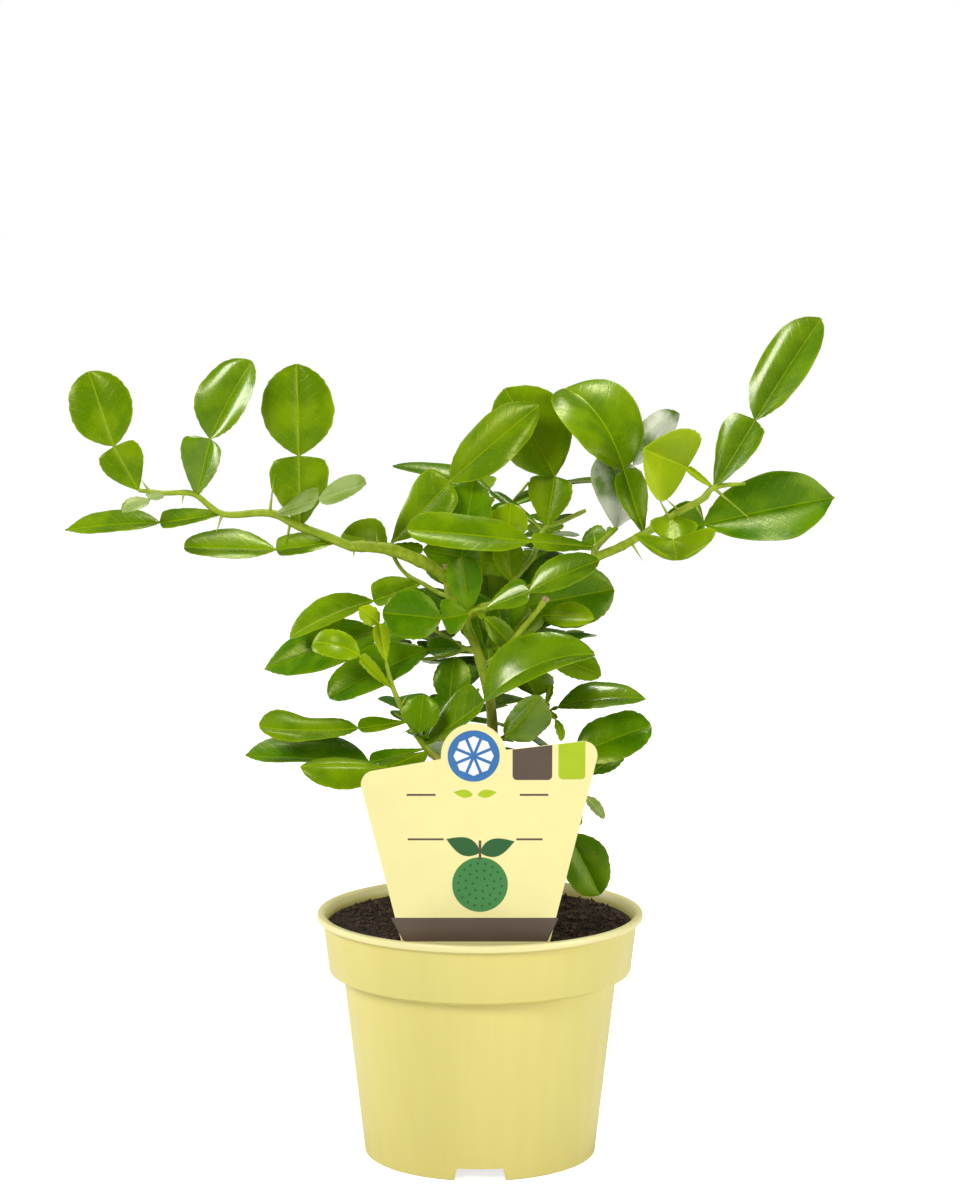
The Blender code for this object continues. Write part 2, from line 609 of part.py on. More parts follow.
def station(points, at):
    """The place on a stem at a share of its length, and the stem's direction there."""
    points = [point.xyz for point in points]
    left = at * sum((b - a).length for a, b in zip(points, points[1:]))
    for a, b in zip(points, points[1:]):
        along = (b - a).normalized()
        if left <= (b - a).length:
            return a + along * left, along
        left -= (b - a).length
    return points[-1], along


def inside(points, space):
    return all(low < value < high for point in points for value, (low, high) in zip(point, space))


def bud_way(seeded, turn, along):
    """Direction of a new leaf or twig: off its stem, turned round it, then drawn level and a little up."""
    side = Matrix.Rotation(turn, 3, along) @ along.orthogonal().normalized()
    lift = math.radians(seeded.uniform(*BUD_LIFT))
    way = along * math.cos(lift) + side * math.sin(lift)
    way.z = way.z * LEVELLED + RAISED
    return way.normalized()


def side_twigs(seeded, count, points, space, placed):
    """Routes of the twigs that branch off a spray's stem."""
    turn = seeded.uniform(0, math.tau)
    for i in range(count):
        turn += math.radians(GOLDEN_ANGLE)
        foot, along = station(points, TWIGS_FROM + TWIGS_ALONG * i / count)
        way = bud_way(seeded, turn, along) * seeded.uniform(*TWIG_LENGTHS)
        thick, thin = TWIG_RADII
        route = [(*foot, thick), (*(foot + way * 0.5), thick), (*(foot + way + UP * 2), thin)]
        probe = tree_of(*tube_shape(route[1:], PROBE_THICKNESS / 2))
        if inside([point[:3] for point in route], space) and not any(probe.overlap(tree) for tree in placed):
            placed.append(probe)
            yield route


def seeded_leaves(seeded, count, points, space, placed):
    """Leaves along a stem or twig, as the spiral of buds gives them."""
    turn = seeded.uniform(0, math.tau)
    for i in range(count):
        turn += math.radians(GOLDEN_ANGLE)
        foot, along = station(points, LEAVES_FROM + (1 - LEAVES_FROM) * (i + 1) / count)
        way = bud_way(seeded, turn, along)
        out = math.degrees(math.asin(-way.y))
        pose = leaf(
            0, math.degrees(math.atan2(way.z, way.x)), seeded.uniform(*BLADE_LENGTHS),
            turn=seeded.uniform(-WING_TURN, WING_TURN), out=out, out_wing=out + seeded.uniform(-WING_LEAN, WING_LEAN),
            tip=None, curl=seeded.uniform(*CURLS),
        )
        rings = settle(foot, pose, placed, space)
        if rings:
            yield rings, pose


def grow(name, points, placed):
    """The seeded part of a spray: its side twigs' routes, and the leaves on its stem and on them."""
    if name not in SEEDED:
        return [], []
    twig_count, leaf_count, space = SEEDED[name]
    seeded = random.Random(f"{name}{SEED}")
    twigs = list(side_twigs(seeded, twig_count, points, space, placed))
    leaves = list(seeded_leaves(seeded, leaf_count, points, space, placed))
    for twig in twigs:
        leaves += seeded_leaves(seeded, TWIG_LEAVES, spline_points(twig), space, placed)
    return twigs, leaves


def make_plant(collection, scraps):
    bark = new_material("green_bark", (0.22, 0.30, 0.04), 0.55)
    green = new_material("leaf_green", (0.09, 0.24, 0.01), 0.32)
    limbs, placed = {}, []
    for name, (parent, route) in LIMBS.items():
        limb = limb_tube(name, route, collection, bark)
        if parent:
            shell = limb_tube("shell", LIMBS[parent][1], scraps, fatten=GAP)
            limb = cut(limb, shell)
            bpy.data.objects.remove(shell)
        smooth(limb, 50)
        limbs[name] = limb
        placed.append(tree_of_object(limb))

    stems = {}
    for name, (parent, route, _) in SPRAYS.items():
        stems[name] = limb_tube(name, route, collection, green)
        placed.append(tree_of_object(stems[name]))

    leaves = {name: [] for name in SPRAYS}
    for name, (_, route, poses) in SPRAYS.items():
        points = spline_points(route)
        for pose in poses:
            rings = settle(station(points, pose["at"])[0], pose, placed)
            if rings:
                leaves[name].append((rings, pose))
            else:
                print(f"{name}: no room for the leaf at {pose['at']}, {pose['angle']} degrees")
    twigs = {}
    for name, (_, route, _) in SPRAYS.items():
        twigs[name], more_leaves = grow(name, spline_points(route), placed)
        leaves[name] += more_leaves
        print(f"{name}: {len(twigs[name])} side twigs, {len(leaves[name])} leaves")

    for name, (parent, _, _) in SPRAYS.items():
        for twig in twigs[name]:
            limb_tube("twig", twig, scraps, sides=4)
        for rings, pose in leaves[name]:
            new_object("leaf", leaf_mesh("leaf", rings, pose), scraps)
        spray = join(stems[name], scraps)
        shell = limb_tube("shell", LIMBS[parent][1], scraps, fatten=GAP)
        spray = cut(spray, shell)
        bpy.data.objects.remove(shell)
        smooth(spray, 35)


def hang_on_origin(collection):
    """Parents every piece to one empty that stands the footprint's middle on the origin."""
    corners = [obj.matrix_world @ v.co for obj in collection.objects for v in obj.data.vertices]
    lows = [min(corner[k] for corner in corners) for k in range(3)]
    highs = [max(corner[k] for corner in corners) for k in range(3)]
    root = bpy.data.objects.new("plant_origin", None)
    bpy.context.scene.collection.objects.link(root)
    root.location = (-(lows[0] + highs[0]) / 2, -(lows[1] + highs[1]) / 2, -lows[2])
    for obj in collection.objects:
        obj.parent = root
    print("size in mm:", [round((high - low) / MM, 1) for low, high in zip(lows, highs)])


def main():
    clear_scene()
    plant = new_collection("potted_lime_tree")
    cutters = new_collection("cutters")
    make_pot(plant, cutters)
    make_soil(plant, cutters)
    make_tag(plant)
    make_plant(plant, cutters)
    bpy.data.collections.remove(cutters)
    hang_on_origin(plant)


main()
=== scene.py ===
# %% [markdown]
# # A young lime tree in a 14 cm pot
# The tree stands in its nursery pot with a care tag in the soil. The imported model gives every
# piece its place, and this script dresses it: the pot, the peat, the tag, the limbs and each
# leaf are modelled again in finer form exactly where the solids are.
# Lengths are in millimetres, seen from the pot's axis, and pass through MM on the way.

# %% Load the frame
import math
import random

import bpy
from mathutils import Matrix, Vector, noise
from mathutils.bvhtree import BVHTree


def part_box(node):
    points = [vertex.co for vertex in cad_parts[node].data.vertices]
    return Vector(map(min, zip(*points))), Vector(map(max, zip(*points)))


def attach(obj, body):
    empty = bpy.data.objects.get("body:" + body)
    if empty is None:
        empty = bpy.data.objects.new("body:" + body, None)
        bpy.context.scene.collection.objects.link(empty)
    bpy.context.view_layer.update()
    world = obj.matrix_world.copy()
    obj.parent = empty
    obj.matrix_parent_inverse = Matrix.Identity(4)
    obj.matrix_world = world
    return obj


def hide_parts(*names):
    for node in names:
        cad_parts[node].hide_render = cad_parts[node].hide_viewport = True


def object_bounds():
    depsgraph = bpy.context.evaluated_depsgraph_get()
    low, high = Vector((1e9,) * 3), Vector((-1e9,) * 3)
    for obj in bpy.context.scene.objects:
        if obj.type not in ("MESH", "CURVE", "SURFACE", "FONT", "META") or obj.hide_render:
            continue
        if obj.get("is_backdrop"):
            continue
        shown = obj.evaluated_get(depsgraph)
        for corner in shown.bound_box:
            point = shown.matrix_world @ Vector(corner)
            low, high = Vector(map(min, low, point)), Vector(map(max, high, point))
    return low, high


MM = 0.001
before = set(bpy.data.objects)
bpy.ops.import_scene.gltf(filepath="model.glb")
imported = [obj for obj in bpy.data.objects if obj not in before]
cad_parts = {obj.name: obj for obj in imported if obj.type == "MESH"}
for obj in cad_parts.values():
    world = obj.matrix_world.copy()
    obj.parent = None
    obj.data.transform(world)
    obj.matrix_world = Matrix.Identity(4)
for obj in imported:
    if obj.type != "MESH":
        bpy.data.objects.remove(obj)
cad_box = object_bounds()
pot_low, pot_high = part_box("pot")
POT_AXIS = Vector(((pot_low.x + pot_high.x) / 2, (pot_low.y + pot_high.y) / 2, 0))
print("pot axis at", [round(value, 5) for value in POT_AXIS])


def placed_at(x, y, z):
    """A point given in millimetres from the pot's axis, in the model's metres."""
    return POT_AXIS + Vector((x, y, z)) * MM


# %% [markdown]
# ## Camera
# A product shot like this is taken with a long lens from a little above the rim, so that the pot
# opens as a flat ellipse. The distance, height and tilt below make the rim, the foot and the
# notch of the pot fall where the photograph has them. The sensor is read along its height,
# because the picture stands upright.

# %% Camera
CAMERA_DISTANCE = 1442
CAMERA_HEIGHT = 420.5
CAMERA_TILT = 7.155  # degrees downwards
SENSOR_HEIGHT = 36
LENS = 102.585

bpy.ops.object.select_all(action="DESELECT")
bpy.ops.object.camera_add(
    location=placed_at(0, -CAMERA_DISTANCE, CAMERA_HEIGHT),
    rotation=(math.radians(90 - CAMERA_TILT), 0, 0),
)
camera = bpy.context.object
camera.data.sensor_fit = "VERTICAL"
camera.data.sensor_height = SENSOR_HEIGHT
camera.data.lens = LENS
camera.data.clip_end = 30
bpy.context.scene.camera = camera
print("camera", [round(value, 3) for value in camera.location])

# %% [markdown]
# ## Helpers for finishes
# A finish is a material with nodes. Three small helpers keep the cells below short: one starts a
# finish, one adds a node with its settings, and one lays a fine relief on the surface. All
# patterns read Object coordinates in metres, so they stay at real size and never slide.

# %% Finish helpers
def new_finish(name, roughness, **settings):
    """A material with its Principled shader; settings are that shader's own sockets."""
    finish = bpy.data.materials.new(name)
    finish.use_nodes = True
    shader = finish.node_tree.nodes["Principled BSDF"]
    shader.inputs["Roughness"].default_value = roughness
    for socket, value in settings.items():
        shader.inputs[socket.replace("_", " ")].default_value = value
    return finish, shader


def add_node(finish, kind, inputs=None, **settings):
    """A node of one kind; inputs are set by name or number, with a value or another node's output."""
    node = finish.node_tree.nodes.new(kind)
    for key, value in settings.items():
        setattr(node, key, value)
    for key, value in (inputs or {}).items():
        if isinstance(value, bpy.types.NodeSocket):
            finish.node_tree.links.new(value, node.inputs[key])
        else:
            node.inputs[key].default_value = value
    return node


def maths(finish, operation, *values):
    return add_node(finish, "ShaderNodeMath", dict(enumerate(values)), operation=operation).outputs[0]


def blended(finish, share, first, second):
    """A colour between two others."""
    node = add_node(finish, "ShaderNodeMix", data_type="RGBA")
    for key, value in (("Factor", share), ("A", first), ("B", second)):
        socket = next(s for s in node.inputs if s.name == key and s.type in ("RGBA", "VALUE") and (
            (key == "Factor") == (s.type == "VALUE")) and s.enabled)
        if isinstance(value, bpy.types.NodeSocket):
            finish.node_tree.links.new(value, socket)
        else:
            socket.default_value = value
    return next(s for s in node.outputs if s.type == "RGBA" and s.enabled)


def object_place(finish, scale=(1, 1, 1)):
    """Object coordinates, stretched by a Mapping node."""
    place = add_node(finish, "ShaderNodeTexCoord").outputs["Object"]
    return add_node(finish, "ShaderNodeMapping", {"Vector": place, "Scale": scale}).outputs[0]


def grain(finish, place, scale, detail=3.0):
    node = add_node(finish, "ShaderNodeTexNoise", {"Vector": place, "Scale": scale, "Detail": detail})
    return node.outputs["Fac"]


def stretched(finish, value, low, high, to_low=0.0, to_high=1.0):
    """A value's range widened to another range, and held there."""
    inputs = {0: value, 1: low, 2: high, 3: to_low, 4: to_high}
    return add_node(finish, "ShaderNodeMapRange", inputs).outputs[0]


def relief(finish, shader, height, strength, depth):
    bump = add_node(finish, "ShaderNodeBump", {"Height": height, "Strength": strength, "Distance": depth})
    finish.node_tree.links.new(bump.outputs[0], shader.inputs["Normal"])


def colour_of(finish, shader, colour):
    finish.node_tree.links.new(colour, shader.inputs["Base Color"])


# %% [markdown]
# ## Helpers for modelling
# Work in edit mode always starts from a clean selection. The helpers here switch modes, turn a
# ring of edges into the next ring of a lathed piece, apply modifiers, and close each piece:
# its place goes into its mesh, it rides on the model's one body, it gets its name, and the model's
# parts it stands for are hidden.

# %% Modelling helpers
def start_fresh():
    if bpy.context.mode != "OBJECT":
        bpy.ops.object.mode_set(mode="OBJECT")
    bpy.ops.object.select_all(action="DESELECT")


def only(obj):
    start_fresh()
    obj.select_set(True)
    bpy.context.view_layer.objects.active = obj


def edit_all(obj, method="SELECT"):
    only(obj)
    bpy.ops.object.mode_set(mode="EDIT")
    bpy.ops.mesh.select_all(action=method)


def apply_all(obj):
    only(obj)
    for modifier in list(obj.modifiers):
        bpy.ops.object.modifier_apply(modifier=modifier.name)


def closed_piece(obj, name, finish, nodes=(), sharp=35):
    """Names a finished piece, gives it its finish, shades it and hangs it on the model."""
    only(obj)
    bpy.ops.object.transform_apply(location=True, rotation=True, scale=True)
    obj.name = name
    obj.data.name = name
    if finish:
        obj.data.materials.clear()
        obj.data.materials.append(finish)
    bpy.ops.object.shade_smooth_by_angle(angle=math.radians(sharp))
    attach(obj, "root")
    if nodes:
        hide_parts(*nodes)
    obj.data.calc_loop_triangles()
    print(f"{name}: {len(obj.data.loop_triangles)} triangles")
    return obj


def lathed(rings, sides):
    """A closed turned piece: a circle is extruded and resized ring by ring, then both ends are filled."""
    start_fresh()
    radius, height = rings[0]
    bpy.ops.mesh.primitive_circle_add(vertices=sides, radius=radius * MM, location=placed_at(0, 0, height))
    obj = bpy.context.object
    bpy.ops.object.mode_set(mode="EDIT")
    bpy.ops.mesh.select_all(action="SELECT")
    bpy.ops.mesh.edge_face_add()
    bpy.ops.mesh.select_all(action="SELECT")
    for next_radius, next_height in rings[1:]:
        move = {"value": (0, 0, (next_height - height) * MM)}
        bpy.ops.mesh.extrude_region_move(TRANSFORM_OT_translate=move)
        share = next_radius / radius
        centre = placed_at(0, 0, next_height)
        bpy.ops.transform.resize(value=(share, share, 1), center_override=centre)
        radius, height = next_radius, next_height
    bpy.ops.mesh.select_all(action="SELECT")
    bpy.ops.mesh.normals_make_consistent(inside=False)
    bpy.ops.object.mode_set(mode="OBJECT")
    return obj

# %% [markdown]
# ## Pot
# The pot is injection-moulded polypropylene: a tapering body, a straight band that lets pots
# stack, a rolled lip and small drain notches in the foot. A turned shape suits it, so a circle is
# extruded and resized from ring to ring, as a potter would pull a wall up. The notches are then
# cut out with three tapered blocks.

# %% Pot
POT_SIDES = 144
POT_HEIGHT = 105.2
LIP_RADIUS = 70.0
LIP_FOOT = 102.0
BAND_TOP_RADIUS = 67.4
BAND_FOOT_RADIUS = 64.9
BAND_FOOT_HEIGHT = 80.6
BODY_TOP_RADIUS = 58.7
BODY_TOP_HEIGHT = 78.2
FOOT_RADIUS = 49.8
WALL = 1.6
FLOOR_HEIGHT = 5.4
NOTCH_WIDTH = 22.0
NOTCH_NARROWING = 1.3
NOTCH_COUNT = 3

POT_RINGS = [
    (1.0, FLOOR_HEIGHT), (FOOT_RADIUS - 2.0, FLOOR_HEIGHT), (FOOT_RADIUS - 2.4, 0.0), (FOOT_RADIUS - 0.6, 0.0),
    (FOOT_RADIUS - 0.15, 0.3), (FOOT_RADIUS, 0.9), (BODY_TOP_RADIUS, BODY_TOP_HEIGHT - 0.6),
    (BODY_TOP_RADIUS + 0.7, BODY_TOP_HEIGHT), (BAND_FOOT_RADIUS - 1.1, BAND_FOOT_HEIGHT - 1.0),
    (BAND_FOOT_RADIUS - 0.35, BAND_FOOT_HEIGHT - 0.75), (BAND_FOOT_RADIUS, BAND_FOOT_HEIGHT),
    (BAND_TOP_RADIUS, LIP_FOOT - 0.6), (BAND_TOP_RADIUS + 0.5, LIP_FOOT - 0.1), (LIP_RADIUS - 0.9, LIP_FOOT),
    (LIP_RADIUS - 0.25, LIP_FOOT + 0.45), (LIP_RADIUS, LIP_FOOT + 1.2), (LIP_RADIUS - 0.05, POT_HEIGHT - 1.0),
    (LIP_RADIUS - 0.35, POT_HEIGHT - 0.35), (LIP_RADIUS - 1.0, POT_HEIGHT - 0.05), (LIP_RADIUS - 2.2, POT_HEIGHT),
    (LIP_RADIUS - 3.2, POT_HEIGHT - 0.4), (LIP_RADIUS - 3.8, POT_HEIGHT - 1.2),
    (BAND_TOP_RADIUS - WALL, LIP_FOOT - 1.0), (BAND_FOOT_RADIUS - WALL, BAND_FOOT_HEIGHT),
    (BODY_TOP_RADIUS - WALL, BODY_TOP_HEIGHT - 2.0), (FOOT_RADIUS - WALL + 0.6, FLOOR_HEIGHT + WALL),
    (1.0, FLOOR_HEIGHT + WALL),
]


def block_at(width, depth, height, x, y, z):
    """A block of a size in millimetres, its middle at a place from the pot's axis."""
    start_fresh()
    bpy.ops.mesh.primitive_cube_add(size=MM, location=placed_at(x, y, z))
    obj = bpy.context.object
    obj.scale = (width, depth, height)
    bpy.ops.object.transform_apply(location=True, rotation=True, scale=True)
    return obj


def cut_out(obj, cutter):
    difference = obj.modifiers.new("cut", "BOOLEAN")
    difference.operation = "DIFFERENCE"
    difference.object = cutter
    apply_all(obj)
    bpy.data.objects.remove(cutter)


pot = lathed(POT_RINGS, POT_SIDES)
for number in range(NOTCH_COUNT):
    notch = block_at(NOTCH_WIDTH, 9, FLOOR_HEIGHT + 1, 0, 1 - FOOT_RADIUS, (FLOOR_HEIGHT - 1) / 2)
    edit_all(notch, "DESELECT")
    bpy.ops.object.mode_set(mode="OBJECT")
    for face in notch.data.polygons:
        face.select = face.normal.z > 0.9
    bpy.ops.object.mode_set(mode="EDIT")
    narrowing = 1 - 2 * NOTCH_NARROWING / NOTCH_WIDTH
    bpy.ops.transform.resize(value=(narrowing, 1, 1), center_override=placed_at(0, 1 - FOOT_RADIUS, FLOOR_HEIGHT))
    bpy.ops.mesh.select_all(action="SELECT")
    bpy.ops.transform.rotate(
        value=number * math.tau / NOTCH_COUNT, orient_axis="Z", center_override=placed_at(0, 0, 0)
    )
    bpy.ops.object.mode_set(mode="OBJECT")
    cut_out(pot, notch)

# %% [markdown]
# ### Pot finish
# The plastic is a satin pale yellow. Its mould leaves faint upright streaks and a slightly waxy,
# mottled gloss. The thin lip lets some light through, and that light is painted: the lip gets a
# lighter colour, a painted glow. Upright streaks come from noise on coordinates that are squeezed
# along Z.

# %% Pot finish
PLASTIC = (0.700, 0.615, 0.190, 1)
PLASTIC_DEEP = (0.685, 0.595, 0.175, 1)
# painted glow: the lip's lighter colour stands in for light shining through the thin plastic
PLASTIC_LIP_PAINTED_GLOW = (0.80, 0.73, 0.34, 1)

plastic, shader = new_finish("satin_yellow_plastic", 0.36, Specular_IOR_Level=0.45)
streaks = grain(plastic, object_place(plastic, (150, 150, 4)), 1.0, 2.0)
mottle = grain(plastic, object_place(plastic), 55.0, 3.0)
body_colour = blended(plastic, stretched(plastic, streaks, 0.3, 0.7), PLASTIC, PLASTIC_DEEP)
height_node = add_node(plastic, "ShaderNodeSeparateXYZ", {0: object_place(plastic)}).outputs["Z"]
# painted glow: the band above LIP_FOOT turns lighter, standing in for light through the lip
lip_glow_share = stretched(plastic, height_node, (LIP_FOOT - 1) * MM, (LIP_FOOT + 1) * MM)
colour_of(plastic, shader, blended(plastic, lip_glow_share, body_colour, PLASTIC_LIP_PAINTED_GLOW))
plastic.node_tree.links.new(stretched(plastic, mottle, 0.3, 0.7, 0.32, 0.44), shader.inputs["Roughness"])
relief(plastic, shader, maths(plastic, "ADD", maths(plastic, "MULTIPLY", streaks, 0.4), mottle), 0.06, 0.0004)
closed_piece(pot, "nursery_pot", plastic, ["pot"])

# %% [markdown]
# ## Peat
# Potting peat is a loose heap of dark crumbs, fibres and bits of bark, a little higher at the
# middle and at the back. Its body is turned like the pot, its top is broken up with noise, and
# then crumbs, fibres and bark bits are strewn over it. They are many and small, so they are
# written straight into one mesh each.

# %% Peat body
PEAT_SIDES = 180
PEAT_TOP = 103.4
PEAT_EDGE = 100.2
PEAT_RADIUS = 64.9
PEAT_RING_STEP = 1.6


def peat_height(x, y):
    """The heap's surface at a place: dished to the wall, rising a little towards the back."""
    reach = min(1.0, math.hypot(x, y) / PEAT_RADIUS)
    lumps = noise.fractal(Vector((x, y, 0)) * 0.055, 0.9, 2.2, 5)
    fine = noise.noise(Vector((x, y, 9)) * 0.6)
    height = PEAT_TOP - 1.0 - 2.0 * reach**2.2 + 0.9 * lumps + 0.4 * fine + 0.7 * reach * y / PEAT_RADIUS
    return min(height, PEAT_TOP)


inner_rings = [
    (1.0, FLOOR_HEIGHT + WALL + 0.3), (FOOT_RADIUS - WALL - 0.1, FLOOR_HEIGHT + WALL + 0.3),
    (BODY_TOP_RADIUS - WALL - 0.5, BODY_TOP_HEIGHT - 1), (BAND_FOOT_RADIUS - WALL - 0.3, BAND_FOOT_HEIGHT + 0.3),
    (PEAT_RADIUS, PEAT_EDGE - 3), (PEAT_RADIUS, PEAT_EDGE),
]
radius = PEAT_RADIUS
top_rings = []
while radius > 2.5:
    radius -= PEAT_RING_STEP
    top_rings.append((radius, PEAT_EDGE + 0.5))
peat = lathed(inner_rings + top_rings, PEAT_SIDES)
top_start = (PEAT_EDGE - 0.2) * MM
for vertex in peat.data.vertices:
    if vertex.co.z > top_start:
        x, y = ((vertex.co - POT_AXIS) / MM).xy
        edge = max(0.0, math.hypot(x, y) - PEAT_RADIUS + 2)
        vertex.co.z = (peat_height(x, y) - 0.6 * edge) * MM

# %% Peat crumbs, fibres and bark bits
CRUMBS = 2600
FIBRES = 210
BARK_BITS = 170


class Heap:
    """Points and faces of many small bits that become one mesh."""

    def __init__(self):
        self.points = []
        self.faces = []

    def add(self, points, faces):
        start = len(self.points)
        self.points += points
        self.faces += [tuple(start + corner for corner in face) for face in faces]

    def made(self, name):
        mesh = bpy.data.meshes.new(name)
        mesh.from_pydata([placed_at(*point) for point in self.points], [], self.faces)
        obj = bpy.data.objects.new(name, mesh)
        bpy.context.scene.collection.objects.link(obj)
        edit_all(obj)
        bpy.ops.mesh.normals_make_consistent(inside=False)
        bpy.ops.object.mode_set(mode="OBJECT")
        return obj


CRUMB_CORNERS = [(1, 0, 0), (0, 1, 0), (-1, 0, 0), (0, -1, 0), (0, 0, 1), (0, 0, -1)]
CRUMB_FACES = [(0, 1, 4), (1, 2, 4), (2, 3, 4), (3, 0, 4), (1, 0, 5), (2, 1, 5), (3, 2, 5), (0, 3, 5)]
BIT_CORNERS = [(a, b, c) for c in (-1, 1) for a, b in ((-1, -1), (1, -1), (1, 1), (-1, 1))]
BIT_FACES = [(0, 3, 2, 1), (4, 5, 6, 7), (0, 1, 5, 4), (1, 2, 6, 5), (2, 3, 7, 6), (3, 0, 4, 7)]


def strewn(seeded, reach=0.975):
    """A random place on the peat that keeps clear of the wall, the trunk and the tag's stake."""
    while True:
        turn = seeded.uniform(0, math.tau)
        distance = PEAT_RADIUS * reach * math.sqrt(seeded.random())
        x, y = distance * math.cos(turn), distance * math.sin(turn)
        near_trunk = math.hypot(x - 6, y - 3) < 5.5
        near_tag = abs(y + 55) < 2.5 and -34 < x < 31
        if not near_trunk and not near_tag:
            return x, y, peat_height(x, y)


def turned_about(seeded):
    turn = Matrix.Rotation(seeded.uniform(0, math.tau), 3, "Z")
    return turn @ Matrix.Rotation(seeded.uniform(-0.5, 0.5), 3, "X") @ Matrix.Rotation(seeded.uniform(-0.5, 0.5), 3, "Y")


seeded = random.Random(11)
crumbs, fibres, bark_bits = Heap(), Heap(), Heap()
for _ in range(CRUMBS):
    x, y, z = strewn(seeded)
    size = seeded.uniform(0.35, 1.25) * (1.25 if seeded.random() < 0.12 else 0.8)
    turn = turned_about(seeded)
    corners = [turn @ (Vector(corner) * size * seeded.uniform(0.6, 1.2)) for corner in CRUMB_CORNERS]
    crumbs.add([Vector((x, y, min(z + size * 0.3, PEAT_TOP + 0.2))) + corner for corner in corners], CRUMB_FACES)
for _ in range(BARK_BITS):
    x, y, z = strewn(seeded, 0.95)
    half = Vector((seeded.uniform(1.0, 2.8), seeded.uniform(0.5, 1.3), seeded.uniform(0.2, 0.5)))
    turn = turned_about(seeded)
    corners = [turn @ Vector([c * h * seeded.uniform(0.7, 1) for c, h in zip(corner, half)]) for corner in BIT_CORNERS]
    bark_bits.add([Vector((x, y, z + 0.3)) + corner for corner in corners], BIT_FACES)
for _ in range(FIBRES):
    x, y, z = strewn(seeded, 0.93)
    way = seeded.uniform(0, math.tau)
    bend = seeded.uniform(-1.2, 1.2)
    length = seeded.uniform(2.0, 6.5)
    points = []
    for step in range(5):
        share = step / 4
        heading = way + bend * share
        place = Vector((x, y, z + 0.35 + 0.7 * math.sin(math.pi * share) * seeded.uniform(0.3, 1)))
        place += Vector((math.cos(heading), math.sin(heading), 0)) * length * share
        across = Vector((-math.sin(heading), math.cos(heading), 0)) * 0.13
        points += [place + across, place - across * 0.5 + Vector((0, 0, 0.16)), place - across]
    faces = [(0, 1, 2), (12, 14, 13)]
    for step in range(4):
        faces += [(3 * step + k, 3 * step + (k + 1) % 3, 3 * step + (k + 1) % 3 + 3, 3 * step + k + 3) for k in range(3)]
    fibres.add(points, faces)

# %% [markdown]
# ### Peat finish
# Damp peat is almost black, with reddish brown fibres and paler bits of bark. Three finishes
# share one recipe with different colours.

# %% Peat finish
def peat_finish(name, dark, light, roughness=0.9):
    finish, shader = new_finish(name, roughness, Specular_IOR_Level=0.25)
    patches = grain(finish, object_place(finish), 900.0, 4.0)
    colour_of(finish, shader, blended(finish, stretched(finish, patches, 0.35, 0.65), dark, light))
    relief(finish, shader, patches, 0.6, 0.0006)
    return finish


peat_dark = peat_finish("damp_peat", (0.016, 0.011, 0.008, 1), (0.06, 0.042, 0.028, 1))
crumb_brown = peat_finish("peat_crumb", (0.020, 0.013, 0.009, 1), (0.085, 0.055, 0.035, 1))
fibre_brown = peat_finish("root_fibre", (0.06, 0.03, 0.015, 1), (0.16, 0.09, 0.045, 1))
bark_brown = peat_finish("bark_chip", (0.03, 0.016, 0.009, 1), (0.12, 0.07, 0.04, 1))
closed_piece(peat, "peat_heap", peat_dark, ["soil"], 60)
closed_piece(crumbs.made("crumbs"), "peat_crumbs", crumb_brown, sharp=20)
closed_piece(bark_bits.made("bits"), "bark_chips", bark_brown, sharp=20)
closed_piece(fibres.made("fibres"), "root_fibres", fibre_brown, sharp=60)

# %% [markdown]
# ## Care tag
# The tag is a card of stiff plastic whose stake goes into the peat. Its outline is a slanted
# trapezoid with rounded corners and a round bump on the crest. A flat curve takes such an outline
# exactly, gets the card's thickness and a fine rounded edge, and is then made a mesh. The print
# is kept plain: panels, rules and a simple citrus with leaves, each a paper-thin plate on the
# card's face.

# %% Care tag board
TAG_Y = -55.0
TAG_THICKNESS = 0.8
TAG_FOOT = 101.8
TAG_FOOT_LEFT, TAG_FOOT_RIGHT = -32.0, 28.4
TAG_LEFT_CORNER = (-50.4, 174.5)
TAG_CREST = (-2.6, 182.8)
TAG_RIGHT_CORNER = (50.2, 188.9)
TAG_CORNER_RADIUS = 5.8
BUMP_CENTRE = (-2.6, 181.8)
BUMP_RADIUS = 13.5
BUMP_STEPS = 40
STAKE_CENTRE = -1.8
STAKE_WIDTH = 15.0
STAKE_TIP_WIDTH = 4.0
STAKE_TIP_HEIGHT = 80.5
PRINT_THICKNESS = 0.05
CARD_FRONT = TAG_Y - TAG_THICKNESS / 2


def rounded_corner(before, corner, after, radius, steps=10):
    """The arc that rounds one corner of an outline."""
    corner = Vector(corner)
    to_before = (Vector(before) - corner).normalized()
    to_after = (Vector(after) - corner).normalized()
    half = to_before.angle(to_after) / 2
    centre = corner + (to_before + to_after).normalized() * (radius / math.sin(half))
    start = corner + to_before * (radius / math.tan(half)) - centre
    sweep = start.angle_signed(corner + to_after * (radius / math.tan(half)) - centre)
    return [centre + Matrix.Rotation(-sweep * i / steps, 2) @ start for i in range(steps + 1)]


def bump_end(corner):
    """Where the bump meets the top edge that runs from the crest to a corner."""
    edge = (Vector(corner) - Vector(TAG_CREST)).normalized()
    crest = Vector(TAG_CREST) - Vector(BUMP_CENTRE)
    middle = crest.dot(edge)
    reach = math.sqrt(middle**2 - crest.length_squared + BUMP_RADIUS**2) - middle
    return crest + edge * reach


